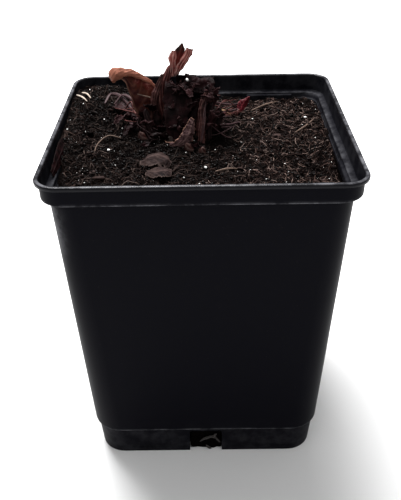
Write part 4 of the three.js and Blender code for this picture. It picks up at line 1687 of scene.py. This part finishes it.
    def old_leaves(self) -> list[Leaf]:
        """Last year's leaves round the crown."""
        wet = {"finish": WET_LEAF, "slot": Slot.WET_LEAF, "crumple": 0.9, "ruffle": 1.2, "ragged": 0.3}
        return [
            RolledLeaf("curled_leaf", TAN_LEAF, Slot.TAN_LEAF, ["curled_leaf"], Tint.ROLL,
                       crumple=0.6, ruffle=0.5, ragged=0.12, rows=90, columns=80, vein_count=7,
                       ridge=[(-11, 8.6, 25.5), (-13.8, 8, 28.8), (-17.3, 7.5, 31.5), (-20.4, 7, 33.3),
                              (-23, 6.6, 35.2), (-26.6, 6.4, 36), (-31, 6.6, 35.8), (-33.6, 7, 34.8),
                              (-35.4, 7.6, 32.6)],
                       drops=[22, 26, 29, 27, 20, 8, 4, 4, 2],
                       rolls=[0.6, 0.8, 1.25, 1.4, 1.6, 2.0, 2.8, 3.1, 0.8], seed=31),
            Blade("hood_leaf", replaces=["hood_leaf"], rows=96, columns=56,
                  midrib=[(1, 6, 3), (0.8, 6, 14), (0.8, 5, 24), (1.2, 1, 28), (1.8, -5, 20),
                          (2.4, -11, 10), (3, -16, 0)],
                  half_widths=[4, 5, 5.4, 5.6, 7, 7, 5.5], seed=32, finish=WET_LEAF, slot=Slot.WET_LEAF,
                  crumple=0.8, crumple_size=9.0, ruffle=2.2, ragged=0.7, vein_count=3, hollow=2.4),
            Blade("right_sheath", SHEATH_LEAF, Slot.YOUNG_STALK, ["right_sheath"],
                  crumple=0.5, crumple_size=3.0, pleats=3, ragged=0.5,
                  midrib=[(13.4, -14, -1), (13.7, -10.5, 9), (14.4, -5.4, 18), (16.6, -1.6, 25)],
                  half_widths=[2.1, 2.2, 1.9, 0.9], hollow=1.4, seed=33),
            Blade("right_leaf", replaces=["right_leaf"], rows=90, columns=56,
                  midrib=[(9.5, 5, -2), (10.8, 7, 9), (11.8, 9.5, 20), (12.8, 10, 28), (14, 4, 30),
                          (15, -1, 24)],
                  half_widths=[3, 5, 6.5, 7.4, 7.4, 5], side=(1, 0, -0.16), seed=34, **wet),
            Blade("back_leaf", replaces=["back_leaf"],
                  midrib=[(5, 13, -2), (6, 15, 7), (6, 16, 19), (6, 15, 29)],
                  half_widths=[3, 4, 4.5, 5], seed=35, **wet),
        ]

    def fallen_leaves(self) -> list[Leaf]:
        """Dead leaves lying loose."""
        dry = {"finish": DRY_LEAF, "slot": Slot.DRY_LEAF, "crumple": 0.6, "ragged": 0.3}
        mauve = {"finish": MAUVE_LEAF, "slot": Slot.DRY_LEAF, "crumple": 0.8, "ragged": 0.3}
        return [
            Blade("crescent_leaf", replaces=["crescent_leaf"], rows=80, columns=28,
                  midrib=[(-5.4, -14.4, 2.4), (-1.2, -19, 2.4), (3.8, -20.5, 4.4), (7, -19.4, 8.4),
                          (8.6, -17.4, 12.6), (9.2, -15.8, 16)],
                  half_widths=[0.9, 1.8, 2.8, 3.3, 2.8, 0.8], side=(0.7, 0, -0.7), seed=41,
                  finish=CRESCENT_LEAF, slot=Slot.DRY_LEAF, crumple=0.8, crumple_size=2.4, ragged=0.3),
            Blade("fallen_leaf_upper", replaces=["fallen_leaf_upper"],
                  midrib=[(-17.5, -37, 1.2), (-13.5, -36, 3.2), (-8.5, -35, 4.2), (-3.5, -36, 3),
                          (-1.5, -38, 1)],
                  half_widths=[2, 6, 7, 6.5, 3.5], side=(0, 1, 0), hollow=-2.2, seed=42, **dry),
            Blade("fallen_leaf_lower", replaces=["fallen_leaf_lower"],
                  midrib=[(-14, -48, 0.8), (-9.5, -49, 2.0), (-4.5, -49, 2.4), (-1, -49, 1)],
                  half_widths=[3, 5.5, 5.5, 4], side=(0, 1, 0), hollow=-1.2, seed=43, **dry),
            Blade("mauve_leaf", replaces=["mauve_leaf"],
                  midrib=[(-36, 25, 7.6), (-30, 22, 8.8), (-25, 16, 7.4), (-22, 12, 5)],
                  half_widths=[3, 4.5, 4, 2], side=(0.3, 1, 0), seed=44, **mauve),
            Blade("wall_leaf", replaces=["wall_leaf"],
                  midrib=[(-59, -54, 3.3), (-58.6, -46, 4), (-58.2, -36, 4.5), (-58, -26, 5),
                          (-58.4, -17, 5)],
                  half_widths=[1.4, 2.5, 3, 3.5, 2.4], side=(0.35, 0, -1), hollow=0.4, seed=45,
                  finish=WET_LEAF, slot=Slot.DRY_LEAF, crumple=0.3, ragged=0.2),
            Blade("tan_fragment", STRAW_LEAF, Slot.STRAW, ["tan_fragment"], crumple=0.4,
                  midrib=[(24, 31, 1.6), (27.2, 28.5, 2), (30.8, 26, 0.8)],
                  half_widths=[2, 2, 1.6], side=(0, 1, 0), rows=40, columns=24, seed=46),
        ]

    def buds(self) -> list[Bud]:
        """The buds breaking at the crown's foot."""
        return [
            Bud("bud_front", (8, -19, -2), (6, -21.5, 4.5), 2.6, replaces=["bud_front"]),
            Bud("bud_right", (14, -21, -2), (14.5, -23, 2.8), 2.0, replaces=["bud_right"], seed=6),
            Bud("bud_left", (-17, -8, 0), (-19, -10, 6.5), 2.4, replaces=["bud_left"], seed=7),
        ]

    def scraps(self) -> list[Blade]:
        """Torn bits of dead leaf pressed round the crown, each from its foot over a middle to its tip."""
        wet, mauve, dry = (WET_LEAF, Slot.WET_LEAF), (MAUVE_LEAF, Slot.DRY_LEAF), (DRY_LEAF, Slot.DRY_LEAF)
        torn = (
            ((4, 12, 6), (5, 12, 20), (7, 6, 27), 4.5, wet),
            ((16, 2, 4), (19, 5, 16), (21, 3, 25), 3.4, mauve),
            ((19, -3, 3), (22, 0, 9), (24, 4, 14), 3.0, wet),
            ((10, -8, 4), (11, -7, 13), (12, -3, 22), 3.0, wet),
            ((-3, -8, 2), (-4, -6, 10), (-4, -1, 18), 3.6, wet),
            ((-8, -4, 2), (-9, -4, 9), (-10, -1, 15), 3.2, wet),
            ((-14, 4, 2), (-16, 3, 8), (-19, 3, 13), 3.8, wet),
            ((-19, 0, 0), (-22, -2, 4), (-26, -3, 5), 3.0, mauve),
            ((6, -17, 0), (10, -20, 3), (15, -21, 2), 2.6, wet),
            ((-10, -12, 0), (-13, -16, 3), (-17, -19, 2), 2.6, wet),
            ((20, 8, 4), (24, 12, 8), (27, 17, 7), 2.6, mauve),
            ((0, 14, 4), (-3, 15, 14), (-4, 14, 26), 4.4, wet),
            ((12, 12, 10), (16, 13, 20), (19, 10, 26), 3.2, mauve),
            ((-5, 8, 14), (-1, 8, 22), (3, 4, 29), 2.4, mauve),
            ((5, 4, 22), (8, 2, 27), (12, 0, 29), 2.2, mauve),
            ((13, 0, 18), (17, -2, 22), (20, -1, 20), 2.4, mauve),
            ((16, -8, 6), (19, -9, 10), (22, -8, 9), 2.4, mauve),
            ((-4, -13, 3), (-8, -15, 7), (-13, -14, 6), 2.2, wet),
            ((-12, -6, 8), (-15, -7, 11), (-19, -5, 10), 2.4, mauve),
            ((-26, 12, 6), (-30, 8, 8), (-33, 3, 6), 2.8, mauve),
            ((-22, 4, 5), (-25, -2, 6), (-27, -9, 4), 2.2, wet),
            ((8, -14, 6), (9, -16, 10), (8, -15, 14), 1.8, dry),
            ((-4, 4, 20), (-1, 0, 27), (3, -3, 27), 1.8, wet),
            ((4, 0, 24), (7, -3, 27), (9, -6, 24), 1.6, mauve),
            ((-4, 2, 16), (-3, -4, 20), (-1, -8, 18), 2.6, wet),
            ((8, -4, 12), (9, -7, 18), (11, -8, 22), 2.6, wet),
            ((17, 2, 18), (20, 0, 24), (23, -1, 27), 2.6, mauve),
            ((15, -1, 20), (17, -4, 24), (20, -6, 23), 2.2, mauve),
            ((18, -6, 8), (20, -8, 13), (19, -9, 17), 2.2, mauve),
            ((20, -2, 10), (23, -4, 13), (26, -3, 12), 2.4, wet),
            ((-12, 2, 12), (-13, -2, 17), (-16, -3, 19), 2.6, wet),
            ((-9, -8, 4), (-7, -12, 9), (-3, -14, 10), 2.4, wet),
        )
        return [
            Blade(
                f"leaf_scrap_{number}", finish, slot, midrib=[foot, middle, tip],
                half_widths=[width * 0.5, width, width * 0.45], hollow=width * 0.5, crumple=0.9,
                ruffle=1.4, ragged=0.6, rows=40, columns=26, seed=50 + number,
                side=(1, 0.35 * (-1) ** number, 0.1),
            )
            for number, (foot, middle, tip, width, (finish, slot)) in enumerate(torn, 1)
        ]

    def debris(self) -> list[Blade]:
        """Small crumpled bits caught on top of the crown's dead leaves and round their foot."""
        dice = random.Random(71)
        skins = ((WET_LEAF, Slot.WET_LEAF), (WET_LEAF, Slot.WET_LEAF), (MAUVE_LEAF, Slot.DRY_LEAF))
        beds = (
            (34, (4, -1, 26), (6, 3.5, 2.4)),
            (16, (18, 1, 23), (3.2, 3, 3)),
            (22, (2, -9, 9), (9, 4, 4)),
            (18, (20, 0, 9), (4.5, 4, 4)),
            (20, (-18, 0, 7), (6, 5, 3)),
        )
        bits = []
        for count, middle, spread in beds:
            for _ in range(count):
                place = Vector([dice.gauss(value, width * 0.6) for value, width in zip(middle, spread)])
                reach = Vector([dice.gauss(0, 1.3) for _ in range(3)])
                width = dice.uniform(0.5, 1.2)
                finish, slot = dice.choice(skins)
                hump = place + Vector((0, 0, width))
                bits.append(
                    Blade(
                        f"crumpled_bit_{len(bits) + 1}", finish, slot,
                        midrib=[tuple(place - reach), tuple(hump), tuple(place + reach)],
                        half_widths=[width * 0.6, width, width * 0.4], hollow=width * 0.6, crumple=0.6,
                        crumple_size=1.6, ruffle=0.8, ragged=0.6, rows=14, columns=9, thickness=0.3,
                        seed=200 + len(bits), side=(1, dice.uniform(-0.8, 0.8), dice.uniform(-0.6, 0.6)),
                    )
                )
        return bits

    def strands(self) -> list[Stem]:
        """Dry fibres frayed off the stalk and the sheath, and thin stems trailing to the right."""
        bundles = (
            (16, (-9, 2, 8), (-4.5, 6, 31), 1.3, STALK_SKIN),
            (5, (13.5, -13.6, 1), (16.6, -3, 21), 0.6, MAUVE_SKIN),
            (8, (15, 1, 18), (21, 3, 23), 1.4, STALK_SKIN),
            (9, (17, 2, 10), (33, 26, 3), 2.6, STALK_SKIN),
            (8, (16, -5, 6), (31, 8, 2.5), 2.6, MAUVE_SKIN),
            (10, (-30, 22, 8), (-21, 6, 8), 2.4, STALK_SKIN),
            (8, (-20, -2, 6), (-10, -10, 6), 2.4, WET_SKIN),
        )
        dice = random.Random(61)
        strands = []
        for count, foot, head, spread, finish in bundles:
            for _ in range(count):
                start = tuple(value + dice.gauss(0, spread) for value in foot)
                end = tuple(value + dice.gauss(0, spread) for value in head)
                bow = tuple((a + b) / 2 + dice.gauss(0, spread) for a, b in zip(start, end))
                thick = dice.uniform(0.16, 0.34)
                strands.append(
                    Stem(
                        f"frayed_fibre_{len(strands) + 1}", [start, bow, end],
                        [thick, thick * 1.2, thick * 0.5], finish, Slot.YOUNG_STALK, ridges=2, sides=6,
                        steps=24, seed=len(strands),
                    )
                )
        return strands

    def rootlets(self) -> list[Stem]:
        """Roots that have grown out through the front drain notch."""
        routes = (
            ((-3.4, -60, 6.2), (-0.6, -60.5, 9), (4.6, -60.5, 10.4), (8.4, -60.2, 5.4)),
            ((3.6, -60.4, 9.6), (5, -60.6, 11.4), (6.2, -60.5, 12.8)),
            ((0, -60.3, 3.6), (1.6, -60.6, 2.2), (3.2, -60.4, 0.9)),
        )
        return [
            Stem(f"rootlet_{number}", route, [0.35, 0.75, 0.35], ROOTLET_SKIN, Slot.CROWN, sides=10,
                 steps=24, seed=80 + number, from_crown=False)
            for number, route in enumerate(routes, 1)
        ]

    def build(self) -> None:
        """Builds the plant."""
        Rootstock().build()
        growth = [*self.stalks(), *self.young_leaves(), *self.old_leaves(), *self.fallen_leaves()]
        loose = [*self.scraps(), *self.debris(), *self.strands(), *self.rootlets()]
        for part in [*growth, *self.buds(), *loose]:
            part.build()


# ---- litter laid one by one ----


@dataclass
class LaidLitter:
    """The larger straws, twigs, flakes and grains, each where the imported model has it."""

    soil: SoilSurface

    def straw(self, node: str, rising: bool, finish: Finish, radius: float = 0.42) -> Stem:
        """A straw across its node's box, from the near left corner if it rises away from it."""
        low, high = node_box(node)
        near, far = (low.y, high.y) if rising else (high.y, low.y)
        start = Vector((low.x + radius, near, 0))
        end = Vector((high.x - radius, far, 0))
        middle = start.lerp(end, 0.5) + Vector((0.6, -0.6, 0))
        points = []
        for point, lift in ((start, 0.4), (middle, 0.9), (end, 0.5)):
            points.append((point.x, point.y, self.soil.height(point.x, point.y) + radius + lift))
        return Stem(
            node, points, [radius, radius * 1.1, radius * 0.7], finish, Slot.STRAW, [node],
            ridges=3, sides=12, steps=24, knots=0.15, seed=int(radius * 90), from_crown=False,
        )

    def build(self) -> None:
        """Lays the litter."""
        for node in ("twig_right", "twig_front", "twig_back"):
            self.straw(node, True, STRAW_SKIN).build()
        for node in ("straw_back_outer", "straw_back_inner"):
            self.straw(node, False, PALE_STRAW_SKIN).build()
        Stem("straw_on_leaf", [(-20.6, 4.4, 22.4), (-15, 3.8, 21), (-9.6, 3.6, 19.8)], [0.26, 0.36, 0.22],
             STRAW_SKIN, Slot.STRAW, ["straw_on_leaf"], ridges=3, sides=10, steps=20, seed=71).build()
        Stem("long_fibre", [(-42, -26, 1.6), (-41, -17, 3), (-36, -10, 4.6), (-29, -11, 3.6)],
             [0.22, 0.32, 0.24], STRAW_SKIN, Slot.STRAW, ["long_fibre"], ridges=3, sides=10, seed=72).build()
        self.flakes()
        self.grains()

    def flakes(self) -> None:
        """The bark flakes, each the size of its node."""
        nodes = [f"bark_flake_{number}" for number in range(1, 11)]
        chips = Crumbs(self.soil, 0, 81, flatness=0.28, angular=0.36)
        for node in nodes:
            low, high = node_box(node)
            middle = (low + high) / 2
            chips.drop(middle.x, middle.y, max(high.x - low.x, high.y - low.y), 0.35)
        chips.build("bark_flakes", BARK_LITTER, Slot.BARK, nodes)

    def grains(self) -> None:
        """The perlite grains."""
        nodes = [f"perlite_grain_{number}" for number in range(1, 5)]
        specks = Crumbs(self.soil, 150, 82, smallest=0.5, largest=1.3, flatness=0.9)
        for node in nodes:
            low, high = node_box(node)
            middle = (low + high) / 2
            lift = (middle.z - self.soil.height(middle.x, middle.y)) / (2 * 0.9)
            specks.drop(middle.x, middle.y, 2.0, max(lift, 0.3))
        specks.build("perlite_grains", PERLITE, Slot.PERLITE, nodes)


# ---- the studio ----


@dataclass
class Studio:
    """A pale floor, soft light and the camera."""

    camera_place: Triple = (0.0015, -0.3784, 0.3311)
    camera_target: Triple = (-0.0016, 0.0, 0.1007)
    camera_roll: float = -1.05
    lens: float = 54.27
    key_power: float = 40.0
    fill_power: float = 6.0
    sky: float = 0.36

    def camera(self) -> None:
        """Sets up the camera."""
        data = bpy.data.cameras.new("camera")
        data.lens = self.lens
        data.sensor_width = 36.0
        data.clip_start = 0.01
        camera = bpy.data.objects.new("camera", data)
        place, target = Vector(self.camera_place), Vector(self.camera_target)
        look = (target - place).to_track_quat("-Z", "Y").to_matrix()
        roll = Matrix.Rotation(math.radians(self.camera_roll), 3, "Z")
        camera.matrix_world = Matrix.Translation(place) @ (look @ roll).to_4x4()
        add_to_scene(camera)
        bpy.context.scene.camera = camera

    def lamp(self, name: str, place: Triple, size: float, power: float) -> None:
        """A square soft lamp aimed at the pot."""
        data = bpy.data.lights.new(name, "AREA")
        data.shape = "SQUARE"
        data.size = size
        data.energy = power
        lamp = bpy.data.objects.new(name, data)
        aim = Vector((0, 0, 0.12)) - Vector(place)
        lamp.matrix_world = Matrix.Translation(place) @ aim.to_track_quat("-Z", "Y").to_matrix().to_4x4()
        add_to_scene(lamp)

    def floor(self) -> None:
        """Lays the floor."""
        sweep = bmesh.new()
        bmesh.ops.create_grid(sweep, x_segments=8, y_segments=8, size=4.0)
        floor = as_object("floor", sweep)
        floor.data.materials.append(StudioPaper("studio paper").material())
        add_to_scene(floor)

    def build(self) -> None:
        """Sets up the whole studio."""
        self.camera()
        self.floor()
        self.lamp("key", (-0.2, 0.45, 1.25), 0.7, self.key_power)
        self.lamp("fill", (0.3, -0.9, 1.5), 1.2, self.fill_power)
        world = bpy.data.worlds.new("studio")
        world.use_nodes = True
        backdrop = world.node_tree.nodes["Background"]
        backdrop.inputs["Color"].default_value = (1.0, 1.0, 1.0, 1.0)
        backdrop.inputs["Strength"].default_value = self.sky
        bpy.context.scene.world = world
        bpy.context.scene.view_settings.view_transform = "Standard"


def main() -> None:
    """Builds everything in order and notes the sizes."""
    logging.basicConfig(level=logging.INFO, format="%(message)s")
    Studio().build()
    pot = NurseryPot()
    pot.build()
    soil = SoilSurface(pot)
    CompostBlock(pot, soil).build()
    for side in range(4):
        NotchFill(pot, side).build()
    compost = Slot.COMPOST
    for layer, seed in (("compost_fibres", 11), ("upper_fibres", 15)):
        Fibres(soil, 4100, seed, longest=8, thickest=0.26).build(layer, FIBRE_LITTER, compost)
    Fibres(soil, 900, 12, longest=15, thickest=0.34, joints=7).build("long_fibres", FIBRE_LITTER, compost)
    Crumbs(soil, 4800, 13, smallest=0.5, largest=2.3).build("compost_crumbs", CRUMB_LITTER, compost)
    chips = Crumbs(soil, 1100, 14, smallest=1.0, largest=4.0, flatness=0.3, angular=0.42)
    chips.build("bark_chips", BARK_LITTER, Slot.BARK)
    LaidLitter(soil).build()
    Rhubarb().build()


if __name__ == "__main__":
    main()
